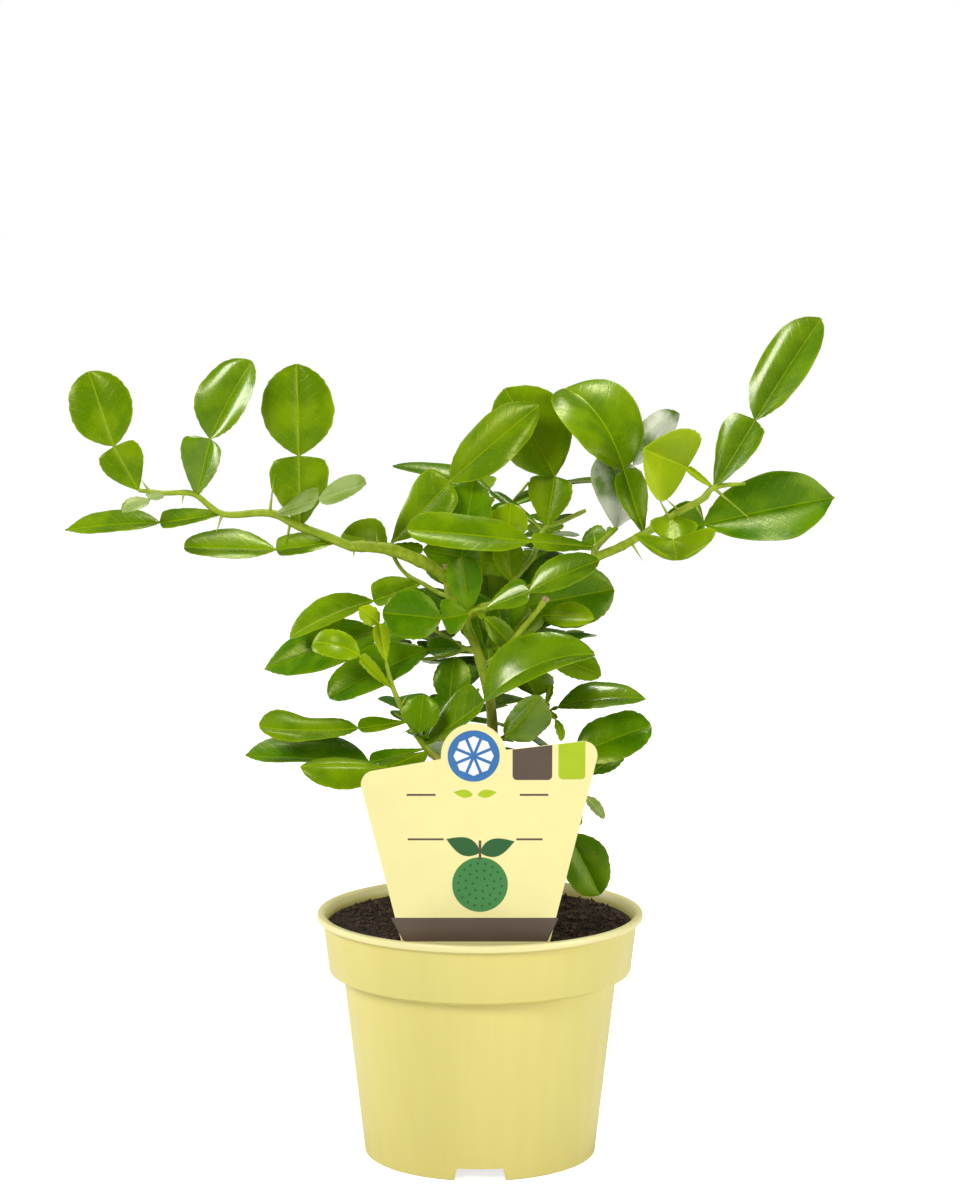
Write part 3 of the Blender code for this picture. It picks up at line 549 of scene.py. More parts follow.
def flat_shape(outline, y, thickness, rounding=0.0):
    """A flat curve with an outline of (x, z), given a thickness about y and made a mesh."""
    curve = bpy.data.curves.new("outline", "CURVE")
    curve.dimensions = "2D"
    curve.fill_mode = "BOTH"
    curve.extrude = (thickness / 2 - rounding) * MM
    curve.bevel_depth = rounding * MM
    curve.bevel_resolution = 1
    curve.offset = -rounding * MM
    spline = curve.splines.new("POLY")
    spline.points.add(len(outline) - 1)
    for point, (x, z) in zip(spline.points, outline):
        point.co = (x * MM, z * MM, 0, 1)
    spline.use_cyclic_u = True
    start_fresh()
    obj = bpy.data.objects.new("outline", curve)
    bpy.context.scene.collection.objects.link(obj)
    only(obj)
    bpy.ops.object.convert(target="MESH")
    obj = bpy.context.object
    obj.data.transform(Matrix.Translation(placed_at(0, y, 0)) @ Matrix.Rotation(math.pi / 2, 4, "X"))
    edit_all(obj)
    bpy.ops.mesh.remove_doubles(threshold=0.001 * MM)
    bpy.ops.mesh.normals_make_consistent(inside=False)
    bpy.ops.object.mode_set(mode="OBJECT")
    return obj


def joined(pieces):
    only(pieces[0])
    for piece in pieces:
        piece.select_set(True)
    bpy.ops.object.join()
    return bpy.context.object


foot_left, foot_right = (TAG_FOOT_LEFT, TAG_FOOT), (TAG_FOOT_RIGHT, TAG_FOOT)
bump_start, bump_stop = bump_end(TAG_LEFT_CORNER), bump_end(TAG_RIGHT_CORNER)
bump_sweep = bump_start.angle(bump_stop)
tag_outline = [foot_left] + rounded_corner(foot_left, TAG_LEFT_CORNER, TAG_CREST, TAG_CORNER_RADIUS)
for step in range(BUMP_STEPS + 1):
    tag_outline.append(Vector(BUMP_CENTRE) + Matrix.Rotation(-bump_sweep * step / BUMP_STEPS, 2) @ bump_start)
tag_outline += rounded_corner(TAG_CREST, TAG_RIGHT_CORNER, foot_right, TAG_CORNER_RADIUS)
tag_outline += [
    foot_right, (STAKE_CENTRE + STAKE_WIDTH / 2, TAG_FOOT), (STAKE_CENTRE + STAKE_TIP_WIDTH / 2, STAKE_TIP_HEIGHT),
    (STAKE_CENTRE - STAKE_TIP_WIDTH / 2, STAKE_TIP_HEIGHT), (STAKE_CENTRE - STAKE_WIDTH / 2, TAG_FOOT),
]
tag_board = flat_shape(tag_outline, TAG_Y, TAG_THICKNESS, 0.12)


# %% Care tag print
def printed(outline, layer=1):
    """A paper-thin plate on the card's face; a higher layer lies on the one below."""
    return flat_shape(outline, CARD_FRONT - PRINT_THICKNESS * (layer - 0.5), PRINT_THICKNESS)


def disc(x, z, radius, stretch=1.0, steps=48):
    turns = [math.tau * step / steps for step in range(steps)]
    return [(x + radius * math.cos(turn), z + radius * stretch * math.sin(turn)) for turn in turns]


def bar(left, right, low, high):
    return [(left, low), (right, low), (right, high), (left, high)]


def leaf_outline(x, z, length, breadth, angle, steps=14):
    """A pointed leaf from its foot at (x, z)."""
    turn = Matrix.Rotation(math.radians(angle), 2)
    upper = [(length * s / steps, breadth / 2 * math.sin(math.pi * (s / steps) ** 0.8)) for s in range(steps + 1)]
    lower = [(a, -b) for a, b in upper[-2:0:-1]]
    return [Vector((x, z)) + turn @ Vector(point) for point in upper + lower]

BAND_TOP, BAND_LOW = 114.0, 104.0
CITRUS = (0.0, 128.0)
CITRUS_RADIUS = 11.5
SLICE_RADIUS = 10.7
UPPER_RULES = 165.6
LOWER_RULE = 147.0
RULE_HALF = 0.4
PANEL_CORNER = 1.8


def top_edge(x):
    """Height of the card's right top edge at x."""
    share = (x - TAG_CREST[0]) / (TAG_RIGHT_CORNER[0] - TAG_CREST[0])
    return TAG_CREST[1] + share * (TAG_RIGHT_CORNER[1] - TAG_CREST[1])


def panel(left, right, low):
    """A panel that hangs from the card's top edge and has two round lower corners."""
    top_left, top_right = (left, top_edge(left) - 0.15), (right, top_edge(right) - 0.15)
    low_left, low_right = (left, low), (right, low)
    outline = rounded_corner(top_left, low_left, low_right, PANEL_CORNER, 6)
    return outline + rounded_corner(low_left, low_right, top_right, PANEL_CORNER, 6) + [top_right, top_left]


brown_print = joined([
    printed([(-36.8, BAND_TOP), (32.5, BAND_TOP), (27.9, BAND_LOW), (-31.6, BAND_LOW)]),
    printed(panel(13.4, 29.7, 171.8)),
    printed(bar(-30.2, -18.3, UPPER_RULES - RULE_HALF, UPPER_RULES + RULE_HALF)),
    printed(bar(16.4, 28.1, UPPER_RULES - RULE_HALF, UPPER_RULES + RULE_HALF)),
    printed(bar(-29.8, -15.0, LOWER_RULE - RULE_HALF, LOWER_RULE + RULE_HALF)),
    printed(bar(15.0, 25.8, LOWER_RULE - RULE_HALF, LOWER_RULE + RULE_HALF)),
    printed(bar(-0.5, 0.5, 138.5, 146.5), 3),
])
lime_print = joined([
    printed(panel(32.3, 43.3, 172.1)),
    printed(leaf_outline(-1.0, UPPER_RULES, 8, 3.4, 8)),
    printed(leaf_outline(-3.0, UPPER_RULES, 8, 3.4, 172)),
])
citrus_print = joined([
    printed(disc(*CITRUS, CITRUS_RADIUS), 1),
])
citrus_shade = joined([
    printed(leaf_outline(0, 141.5, 15, 7.5, 18), 2),
    printed(leaf_outline(0, 141.5, 15, 7.5, 158), 2),
    *[
        printed(disc(CITRUS[0] + r * math.cos(turn), CITRUS[1] + r * math.sin(turn), 0.55, steps=10), 2)
        for r, count in ((3.0, 6), (6.0, 12), (9.0, 18))
        for turn in [math.tau * step / count + r for step in range(count)]
    ],
])
disc_print = joined([printed(disc(*BUMP_CENTRE, SLICE_RADIUS, steps=64))])
disc_light = joined([
    printed([Vector(BUMP_CENTRE) + Matrix.Rotation(math.tau * number / 8, 2) @ Vector(point) for point in (
        (1.6, 0), (7.2, -2.3), (8.3, 0), (7.2, 2.3))], 2)
    for number in range(8)
])

# %% [markdown]
# ### Tag finishes
# The card is a smooth satin plastic, pale yellow, and the inks on it are matte-satin too. Each
# gets a faint mottle in colour and a fine relief, because a printed card is never quite even.

# %% Tag finishes
def ink(name, colour, roughness=0.42, spread=0.9):
    finish, shader = new_finish(name, roughness)
    mottle = grain(finish, object_place(finish), 70.0, 2.0)
    deeper = (*[value * spread for value in colour], 1)
    colour_of(finish, shader, blended(finish, stretched(finish, mottle, 0.3, 0.7), (*colour, 1), deeper))
    fine = grain(finish, object_place(finish), 1500.0, 2.0)
    relief(finish, shader, fine, 0.08, 0.0001)
    return finish


closed_piece(tag_board, "care_tag", ink("pale_yellow_card", (0.84, 0.765, 0.335), 0.4, 0.97), ["tag"])
for print_piece, name, colour in (
    (brown_print, "tag_brown_panels", (0.105, 0.068, 0.045)),
    (lime_print, "tag_lime_panel", (0.40, 0.54, 0.002)),
    (citrus_print, "tag_citrus", (0.045, 0.22, 0.045)),
    (citrus_shade, "tag_citrus_leaves", (0.015, 0.11, 0.02)),
    (disc_print, "tag_disc", (0.03, 0.16, 0.42)),
    (disc_light, "tag_disc_slices", (0.85, 0.87, 0.88)),
):
    closed_piece(print_piece, name, ink(name + "_ink", colour), sharp=30)

# %% [markdown]
# ## Limbs
# The trunk leaves the soil with a small flare, leans to the left and was cut at the top, so two
# boughs took over. A route of points with a radius at each, joined by a smooth curve, follows a
# living stem better than stacked cylinders. These routes and their names are those of the model.

# %% Routes of the limbs
GAP = 0.3  # between pieces that touch on the real plant
SOIL_TOP = PEAT_TOP
UP = Vector((0, 0, 1))
VIEWER = Vector((0, -1, 0))

LIMBS = {
    "trunk": (None, [
        (6, 3, SOIL_TOP + GAP, 4.6), (6, 3, 108, 3.6), (6, 2, 122, 2.9), (6, 2, 150, 2.6), (5, 0, 190, 2.3),
        (2, 0, 206, 2.2), (-2, 0, 220, 2.1), (-8, -1, 232, 2.1), (-13, -1, 242, 2.0), (-14, -1, 254.5, 1.7),
    ]),
    "bough_left": ("trunk", [
        (-13.9, -1, 248.5, 2.4), (-18, -2, 252, 2.6), (-25, -4, 256.5, 2.8), (-37, -6, 261.5, 2.7),
        (-46, -7, 263, 2.5), (-54.5, -8, 263.3, 2.3),
    ]),
    "bough_right": ("trunk", [
        (-7.5, -1, 231, 2.0), (-1, -4, 235.5, 2.2), (8, -6, 239, 2.1), (20, -7, 244.5, 2.0), (34, -7, 251, 2.0),
        (48, -6, 258, 2.1), (59, -5, 262.5, 1.9), (68, -4, 267.5, 1.8),
    ]),
    "stem_pruned": ("trunk", [
        (2.5, 0, 204, 1.3), (7, -6, 213, 1.25), (14, -12, 224, 1.2), (23.5, -15, 236, 1.2), (28, -15.5, 242.5, 1.35),
    ]),
    "bough_back": ("trunk", [
        (-5, -0.5, 226, 1.8), (-6, 8, 235, 1.8), (-5, 21, 245, 1.6), (-3, 33, 253, 1.4),
    ]),
    "bough_low_left": ("trunk", [
        (6, 1, 152, 1.8), (-2, -5, 160, 1.8), (-12, -11, 168, 1.7), (-21, -14, 176, 1.6),
    ]),
    "bough_low_back": ("trunk", [
        (6, 2, 132, 1.9), (2, 12, 144, 1.8), (-5, 24, 157, 1.6), (-10, 34, 168, 1.4),
    ]),
}


def spline_points(route, steps=3):
    """Points of a smooth curve through a limb's route; the radius runs along with them."""
    route = [Vector(point) for point in route]
    points = []
    for i in range(len(route) - 1):
        a, b, c, d = route[max(i - 1, 0)], route[i], route[i + 1], route[min(i + 2, len(route) - 1)]
        for k in range(steps):
            t = k / steps
            points.append(
                0.5 * (2 * b + (c - a) * t + (2 * a - 5 * b + 4 * c - d) * t**2 + (3 * b - a - 3 * c + d) * t**3)
            )
    return points + [route[-1]]


def tube(points, sides, name="tube"):
    """A tapering tube through points that carry their radius, made a mesh."""
    curve = bpy.data.curves.new(name, "CURVE")
    curve.dimensions = "3D"
    curve.bevel_depth = MM
    curve.bevel_resolution = (sides - 4) // 2
    curve.use_fill_caps = True
    spline = curve.splines.new("POLY")
    spline.points.add(len(points) - 1)
    for point, (x, y, z, radius) in zip(spline.points, points):
        point.co = (x * MM, y * MM, z * MM, 1)
        point.radius = radius
    start_fresh()
    obj = bpy.data.objects.new(name, curve)
    bpy.context.scene.collection.objects.link(obj)
    only(obj)
    bpy.ops.object.convert(target="MESH")
    obj = bpy.context.object
    edit_all(obj)
    bpy.ops.mesh.remove_doubles(threshold=0.001 * MM)
    bpy.ops.mesh.normals_make_consistent(inside=False)
    bpy.ops.object.mode_set(mode="OBJECT")
    return obj


print(len(LIMBS), "limbs")

# %% [markdown]
# ## Sprays
# A spray is a stem with its twigs and leaves. The leaf of this lime is double: a winged stalk,
# nearly as broad as the blade, and then the blade. The leaves that the photograph shows are read
# from it with a protractor, one by one. The ones behind follow the plant's own rule: buds go
# round a stem by the golden angle, and a leaf that finds no room isn't grown.

# %% Sprays and their posed leaves
def leaf(at, angle, blade, width=None, wing=None, turn=0, out=0, out_wing=None, tip=20, fold=10, curl=15, flare=1):
    """One leaf as a protractor reads it in the front view, in degrees and millimetres.

    at is its place along the stem, angle its blade's direction, 0 to the right and 90 up, and out how far it
    leans to the viewer. The winged stalk under the blade differs from it by turn, and flare widens it. tip turns
    the upper face from the viewer, 0, to the sky, 90; None leaves it to the sky as far as the leaf lets it.
    """
    wing = blade * 0.62 if wing is None else wing
    return {
        "at": at, "angle": angle, "out": out, "blade": blade, "width": width or blade * 0.7, "wing": wing,
        "wing_angle": angle + turn, "wing_out": out if out_wing is None else out_wing,
        "tip": tip, "fold": fold, "curl": curl, "flare": flare,
    }


# Sprays: the limb each one grows from, its stem's route (x, y, z, radius), and the leaves that were posed one by one
SPRAYS = {
    "foliage_left_arm": ("bough_left", [
        (-54.5, -8, 263.3, 2.2), (-76, -10, 272, 1.9), (-88.5, -11, 277.7, 1.7), (-108, -13, 277.5, 1.4),
        (-120, -14, 286, 1.25), (-132.5, -15, 286.5, 1.1), (-143, -16, 287.8, 0.9),
    ], [
        leaf(0.06, 177, 38.5, 24, 26.5, turn=10, out=4, tip=66, curl=2),
        leaf(0.24, 91, 38.5, 31, 30, tip=4, fold=6, curl=6),
        leaf(0.37, 20, 25, 17, 24, turn=2, out=30, tip=58, curl=0),
        leaf(0.60, 179, 40, 22, 26.5, turn=9, out=2, tip=68, curl=12),
        leaf(0.74, 66, 37, 29, 25, turn=10, out=4, tip=34, fold=22),
        leaf(0.88, 194, 16, 9, 10, turn=2, out=30, tip=58),
        leaf(1.0, 108, 33, 27, 21, turn=10, out=2, tip=8, fold=5, flare=0.85),
    ]),
    "foliage_right_arm": ("bough_right", [
        (68, -4, 267.5, 1.8), (74, -4, 271, 1.7), (84, -4, 277.5, 1.6), (94, -4, 283, 1.5), (99, -4, 288, 1.3),
        (112, -4, 289.5, 0.6),
    ], [
        leaf(0.03, 104, 48.5, 41, 28.5, turn=4, out=2, tip=36, fold=8, curl=70, flare=0.48),
        leaf(0.10, 13, 61, 35, 24, turn=-10, out=-3, out_wing=-12, tip=24, fold=22),
        leaf(0.31, 272, 24, 38, 15, turn=-3, out=72, out_wing=54, tip=0, fold=26, curl=-8, flare=0.7),
        leaf(0.74, 59, 51, 27, 33, turn=0, out=-2, tip=38, fold=20, curl=6),
        leaf(0.73, 154, 29, 36, 14.6, turn=-12, out=45, out_wing=10, tip=0, fold=24, curl=5, flare=0.14),
    ]),
    "foliage_right_crown": ("bough_right", [
        (48, -6, 258, 1.4), (49, -4.5, 262, 1.4), (53, -1, 266, 1.3), (58, 3, 270, 1.1),
    ], [
        leaf(0.28, 171, 53, 20.5, 30, turn=2, out=13, out_wing=20, tip=46, curl=6, flare=0.6),
        leaf(0.98, 44, 31, 24, 28.5, turn=30, out=-10, tip=-48, fold=-16, curl=6, flare=2.1),
        leaf(0.92, 204, 18, 12, 5, out=-36, tip=50),
    ]),
    "foliage_centre": ("bough_right", [
        (13, -6.5, 241.5, 1.5), (13.5, -3.5, 247, 1.5), (17, -1, 251.5, 1.4), (22, 2, 257, 1.3),
        (24, 4, 262, 1.2), (27.5, 5, 269.5, 1.15), (34, 6, 272, 1.1), (45, 8, 277, 0.9),
    ], [
        leaf(0.12, 85, 19.5, 17, 16, turn=13, out=-20, out_wing=-10, tip=6),
        leaf(0.66, 118, 43, 38, 22, turn=-37, out=-4, tip=30, fold=12, curl=8, flare=0.8),
        leaf(0.62, 158, 46, 20, 31.5, turn=-13, out=-6, out_wing=-26, tip=72, fold=8, curl=18, flare=0.7),
    ]),
    "foliage_crown_left": ("trunk", [
        (-12.6, -1, 241, 1.1), (-17, 1.5, 242, 1.0), (-24, 3, 246, 1.0), (-32, 5, 250.5, 0.9), (-37, 6, 258, 0.9),
        (-37.5, 5.5, 263.5, 0.85),
    ], [
        leaf(0.38, 193, 39.5, 21, 22, turn=7, out=4, tip=62, fold=16, curl=25, flare=1.35),
        leaf(0.98, 348, 28, 18, 14, out=-16, tip=20, flare=0.4),
        leaf(1.0, 43, 50, 24.5, 37, turn=4, out=10, tip=30, fold=6, curl=8, flare=1.15),
        leaf(0.90, 158, 21, 21, 4, out=-14, out_wing=-50, tip=50, fold=25),
    ]),
    "foliage_front": ("trunk", [
        (-2.5, 0, 222, 1.3), (-5, -5.5, 228, 1.2), (-4, -10.5, 235.5, 1.1), (3, -14, 238, 1.0),
    ], [
        leaf(0.99, 29, 32, 18, 19.5, turn=-7, out=5, tip=44, fold=16),
        leaf(0.66, 170, 25.5, 22, 13, turn=18, out=20, tip=18),
        leaf(0.56, 82, 36, 21, 26, turn=14, out=-20, out_wing=0, tip=10, fold=10, flare=0.9),
        leaf(0.80, 315, 20, 11, 5, out=14, tip=26),
    ]),
    "foliage_left_mid": ("trunk", [
        (-1.5, 0, 217, 1.1), (-8, 4, 219, 1.0), (-15, 7, 223, 0.9), (-22, 9, 227, 0.8),
    ], [
        leaf(0.30, 199, 47, 25, 15, turn=-16, out=14, tip=50, fold=16),
        leaf(1.0, 193, 54, 25, 20, turn=-5, out=0, tip=42),
    ]),
    "foliage_low_left": ("bough_low_left", [
        (-21, -14, 176, 1.5), (-24, -15, 180, 1.5), (-30, -15.5, 189.5, 1.3), (-36.5, -16, 203.5, 1.1),
        (-39.5, -16, 215, 0.8),
    ], [
        leaf(0.06, 175, 52.5, 31, 25, turn=19, out=0, tip=72, fold=18, curl=4, flare=0.5),
        leaf(0.10, 50, 53, 31, 33, turn=-12, out=11, tip=60, fold=22, curl=64),
        leaf(0.14, 85, 20, 17, 24, turn=-34, out=-6, out_wing=-40, tip=8),
        leaf(0.20, 84, 16, 17, 7, out=0, out_wing=65, tip=10, fold=8),
        leaf(0.38, 184, 42, 22, 21.5, turn=3, out=6, tip=64, curl=-14, flare=0.6),
        leaf(0.72, 138, 24, 14, 24, turn=-7, out=28, tip=38, curl=100, flare=0.55),
        leaf(1.0, 135, 11, 9, 17, turn=-35, out=20, out_wing=5, tip=24, curl=20, flare=1.1),
        leaf(0.03, 171, 36, 22, 30, turn=19, out=0, out_wing=40, tip=60, fold=-25),
    ]),
    "foliage_right_mid": ("trunk", [
        (0.5, 0, 211, 1.2), (6, 5, 214, 1.1), (11, 8, 219, 1.0), (14, 10, 225, 0.8),
    ], [
        leaf(0.98, 10, 39, 28, 13, turn=50, out=-6, tip=8),
        leaf(0.45, 346, 26, 22, 20, turn=14, out=2, tip=56),
        leaf(0.80, 4, 22, 13, 20, turn=34, out=20, tip=44),
        leaf(0.20, 104, 26, 20, 6, out=-8, tip=12),
    ]),
    "foliage_low_right": ("trunk", [
        (5.3, 0.3, 177, 1.3), (12, 2, 181, 1.2), (22, 4, 187.5, 1.0), (30, 4, 191.5, 0.8),
    ], [
        leaf(0.98, 20, 39, 22, 4, out=0, tip=66, curl=34),
        leaf(0.14, 45, 23.5, 26, 6, out=10, out_wing=70, tip=-40, fold=16),
        leaf(1.0, 302, 10, 5, 5, out=34, tip=40, curl=50),
        leaf(0.96, 76, 8, 3.4, 4, turn=18, out=4, tip=20),
    ]),
    "foliage_low_right_foot": ("trunk", [
        (6, 2, 143, 1.5), (16, 6, 150, 1.3), (27, 7, 158, 1.1), (34, 6, 166, 0.9),
    ], [
        leaf(1.0, 26, 36, 23.5, 8, turn=14, out=2, tip=36),
        leaf(0.80, 299, 31, 22, 24, turn=-8, out=4, tip=16),
        leaf(0.92, 318, 13, 7, 16, turn=6, out=14, tip=50),
        leaf(0.96, 36, 19.5, 10.5, 16, turn=-46, out=-20, tip=30),
    ]),
    "foliage_back_top": ("bough_back", [
        (-3, 33, 253, 1.3), (0, 44, 261, 1.1), (4, 56, 268, 0.8),
    ], []),
    "foliage_back_mid": ("trunk", [
        (4, 0, 196, 1.4), (6, 14, 204, 1.2), (9, 32, 215, 1.0), (10, 50, 224, 0.8),
    ], []),
    "foliage_back_low": ("bough_low_back", [
        (-10, 34, 168, 1.3), (-15, 44, 176, 1.1), (-18, 58, 182, 0.8),
    ], []),
    "foliage_back_foot": ("trunk", [
        (6, 2, 124, 1.4), (14, 14, 132, 1.2), (24, 28, 141, 1.0), (30, 42, 148, 0.8),
    ], []),
}

PROBE_THICKNESS = 2.0
# Seeded growth: how many side twigs a spray tries, how many leaves on its stem and on each twig, and the space
# that all of it keeps to, as (x, y, z) ranges
SEEDED = {
    "foliage_back_top": (5, 9, ((-24, 52), (16, 106), (232, 288))),
    "foliage_back_mid": (4, 7, ((-40, 50), (8, 104), (184, 258))),
    "foliage_back_low": (5, 8, ((-42, 38), (14, 104), (130, 198))),
    "foliage_back_foot": (4, 6, ((-30, 44), (8, 96), (107, 178))),
    "foliage_left_mid": (2, 4, ((-54, 6), (2, 66), (194, 250))),
    "foliage_right_mid": (2, 4, ((-4, 58), (2, 66), (194, 256))),
    "foliage_low_right_foot": (1, 3, ((0, 44), (-10, 50), (112, 172))),
    "foliage_centre": (1, 3, ((-8, 36), (2, 60), (246, 286))),
}
TWIG_LEAVES = 4
TWIG_LENGTHS = (20, 32)
TWIG_RADII = (0.85, 0.6)
SEED = 37
GOLDEN_ANGLE = 137.5
NUDGES = (0, 7, -7, 14, -14, 21, -21, 30, -30)

# Leaf outlines: share of the length, share of the width
WING_OUTLINE = ((0.0, 0.06), (0.3, 0.62), (0.62, 1.0), (0.93, 0.88))
BLADE_OUTLINE = ((0.0, 0.04), (0.09, 0.42), (0.27, 0.84), (0.52, 1.0), (0.78, 0.8), (0.93, 0.42), (1.0, 0.04))
THINNEST_HALF = 0.4
WING_HALF = 0.35  # of the blade's width, on a wing half as long as the blade
WIDEST_WING = 1.15  # how much wider a longer wing may be

# The plant's own rule: how far a bud leans off its stem, how it is drawn level and up, and its leaf's ranges
BUD_LIFT = (38, 62)
LEVELLED, RAISED = 0.7, 0.12
TWIGS_FROM, TWIGS_ALONG = 0.2, 0.6
LEAVES_FROM = 0.3
BLADE_LENGTHS = (28, 40)
CURLS = (5, 30)
WING_TURN, WING_LEAN = 14, 12

# An upper face can't look to the viewer, or to the sky, on a leaf that grows closer to that line than this
TOO_CLOSE = 0.2
EVEN = 0.05

# %% [markdown]
# ### How a leaf is laid out
# Each leaf is a row of cross-sections from its foot to its tip. The same rule as in the model's
# source aims them, turns the upper face and tries a few leans until the leaf is clear of what is
# already there, so each leaf comes to lie where its solid is.

# %% Leaf rule
def aim(angle, out):
    """Direction of a protractor reading: angle in the front view, out towards the viewer."""
    angle, out = math.radians(angle), math.radians(out)
    return Vector((math.cos(angle) * math.cos(out), -math.sin(out), math.sin(angle) * math.cos(out)))


def facing(along, tip):
    """The way the upper face looks on a piece that grows along."""
    front = VIEWER - along * along.dot(VIEWER)
    sky = UP - along * along.dot(UP)
    if tip is None and sky.length > TOO_CLOSE:
        return sky.normalized()
    front = (front if front.length > TOO_CLOSE else sky).normalized()
    other = along.cross(front)
    if other.z < -EVEN or (abs(other.z) <= EVEN and other.x < 0):
        other = -other
    roll = math.radians(tip or 0)
    return front * math.cos(roll) + other * math.sin(roll)


def leaf_rings(foot, pose, lean=0):
    """Cross-sections of a leaf from its foot to its tip, as (middle, side, upper, half width)."""
    along = aim(pose["wing_angle"], pose["wing_out"] + lean)
    upper = facing(along, pose["tip"])
    middle = Vector(foot)
    rings = []
    if pose["wing"]:
        share = min(WIDEST_WING, 2 * pose["wing"] / pose["blade"])
        wing_half = pose["width"] * WING_HALF * share * pose["flare"]
        for share, breadth in WING_OUTLINE:
            point = middle + along * pose["wing"] * share
            rings.append((point, along.cross(upper), upper, max(THINNEST_HALF, wing_half * breadth)))
        middle = middle + along * pose["wing"]
    along = aim(pose["angle"], pose["out"] + lean)
    upper = facing(along, pose["tip"])
    side = along.cross(upper)
    bend = math.radians(-pose["curl"])
    last = 0.0
    for share, breadth in BLADE_OUTLINE:
        turn = Matrix.Rotation(bend * (share + last) / 2, 3, side)
        middle = middle + (turn @ along) * pose["blade"] * (share - last)
        half = max(THINNEST_HALF, pose["width"] / 2 * breadth)
        rings.append((middle, side, Matrix.Rotation(bend * share, 3, side) @ upper, half))
        last = share
    return rings


def leaf_shape(rings, fold, thickness):
    """Corners and faces of a leaf: a lens section, folded along its midrib, lofted through the rings."""
    rise = math.radians(fold)
    points = []
    for middle, side, upper, half in rings:
        up = upper * half * math.sin(rise)
        out = side * half * math.cos(rise)
        points += [middle - out + up, middle + upper * thickness / 2, middle + out + up, middle - upper * thickness / 2]
    faces = [(3, 2, 1, 0)]
    for i in range(0, len(points) - 4, 4):
        faces += [(i + k, i + (k + 1) % 4, i + (k + 1) % 4 + 4, i + k + 4) for k in range(4)]
    last = len(points) - 4
    return points, faces + [(last, last + 1, last + 2, last + 3)]


def tree_of(points, faces):
    return BVHTree.FromPolygons([tuple(point) for point in points], [tuple(face) for face in faces])


def tube_shape(route, radius):
    """Corners and faces of a square tube along a route."""
    points, faces = [], []
    for x, y, z, _ in route:
        middle = Vector((x, y, z))
        points += [middle + Vector(corner) * radius for corner in ((1, 0, -1), (0, 1, 0), (-1, 0, -1), (0, -1, 1))]
    for i in range(0, len(points) - 4, 4):
        faces += [(i + k, i + (k + 1) % 4, i + (k + 1) % 4 + 4, i + k + 4) for k in range(4)]
    return points, faces


def settle(foot, pose, placed, space=None):
    """The first lean that keeps the leaf clear, or None where no lean does."""
    for lean in NUDGES:
        rings = leaf_rings(foot, pose, lean)
        if space and not inside([ring[0] for ring in rings], space):
            continue
        probe = tree_of(*leaf_shape(rings[1:], pose["fold"], PROBE_THICKNESS))
        if not any(probe.overlap(tree) for tree in placed):
            placed.append(probe)
            return lean
    return None


def station(points, at):
    """The place on a stem at a share of its length, and the stem's direction there."""
    points = [point.xyz for point in points]
    left = at * sum((b - a).length for a, b in zip(points, points[1:]))
    for a, b in zip(points, points[1:]):
        along = (b - a).normalized()
        if left <= (b - a).length:
            return a + along * left, along
        left -= (b - a).length
    return points[-1], along


def inside(points, space):
    return all(low < value < high for point in points for value, (low, high) in zip(point, space))


def bud_way(seeded, turn, along):
    """Direction of a new leaf or twig: off its stem, turned round it, then drawn level and a little up."""
    side = Matrix.Rotation(turn, 3, along) @ along.orthogonal().normalized()
    lift = math.radians(seeded.uniform(*BUD_LIFT))
    way = along * math.cos(lift) + side * math.sin(lift)
    way.z = way.z * LEVELLED + RAISED
    return way.normalized()


def side_twigs(seeded, count, points, space, placed):
    """Routes of the twigs that branch off a spray's stem."""
    turn = seeded.uniform(0, math.tau)
    for i in range(count):
        turn += math.radians(GOLDEN_ANGLE)
        foot, along = station(points, TWIGS_FROM + TWIGS_ALONG * i / count)
        way = bud_way(seeded, turn, along) * seeded.uniform(*TWIG_LENGTHS)
        thick, thin = TWIG_RADII
        route = [(*foot, thick), (*(foot + way * 0.5), thick), (*(foot + way + UP * 2), thin)]
        probe = tree_of(*tube_shape(route[1:], PROBE_THICKNESS / 2))
        if inside([point[:3] for point in route], space) and not any(probe.overlap(tree) for tree in placed):
            placed.append(probe)
            yield route


def seeded_leaves(seeded, count, points, space, placed):
    """Leaves along a stem or twig, as the spiral of buds gives them."""
    turn = seeded.uniform(0, math.tau)
    for i in range(count):
        turn += math.radians(GOLDEN_ANGLE)
        foot, along = station(points, LEAVES_FROM + (1 - LEAVES_FROM) * (i + 1) / count)
        way = bud_way(seeded, turn, along)
        out = math.degrees(math.asin(-way.y))
        pose = leaf(
            0, math.degrees(math.atan2(way.z, way.x)), seeded.uniform(*BLADE_LENGTHS),
            turn=seeded.uniform(-WING_TURN, WING_TURN), out=out, out_wing=out + seeded.uniform(-WING_LEAN, WING_LEAN),
            tip=None, curl=seeded.uniform(*CURLS),
        )
        lean = settle(foot, pose, placed, space)
        if lean is not None:
            yield foot, pose, lean, None


def grow(name, points, placed):
    """The seeded part of a spray: its side twigs' routes, and the leaves on its stem and on them."""
    if name not in SEEDED:
        return [], []
    twig_count, leaf_count, space = SEEDED[name]
    seeded = random.Random(f"{name}{SEED}")
    twigs = list(side_twigs(seeded, twig_count, points, space, placed))
    leaves = list(seeded_leaves(seeded, leaf_count, points, space, placed))
    for twig in twigs:
        leaves += seeded_leaves(seeded, TWIG_LEAVES, spline_points(twig), space, placed)
    return twigs, leaves


# %% Grow
def limb_tree(name):
    """What the model's own limb fills, in millimetres from the pot's axis."""
    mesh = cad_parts[name].data
    return tree_of([(v.co - POT_AXIS) / MM for v in mesh.vertices], [p.vertices for p in mesh.polygons])


def stem_tree(route):
    """What a spray's six-sided stem fills."""
    stem = tube([Vector(point) for point in spline_points(route, 2)], 6)
    made = tree_of([v.co / MM for v in stem.data.vertices], [p.vertices for p in stem.data.polygons])
    bpy.data.objects.remove(stem)
    return made


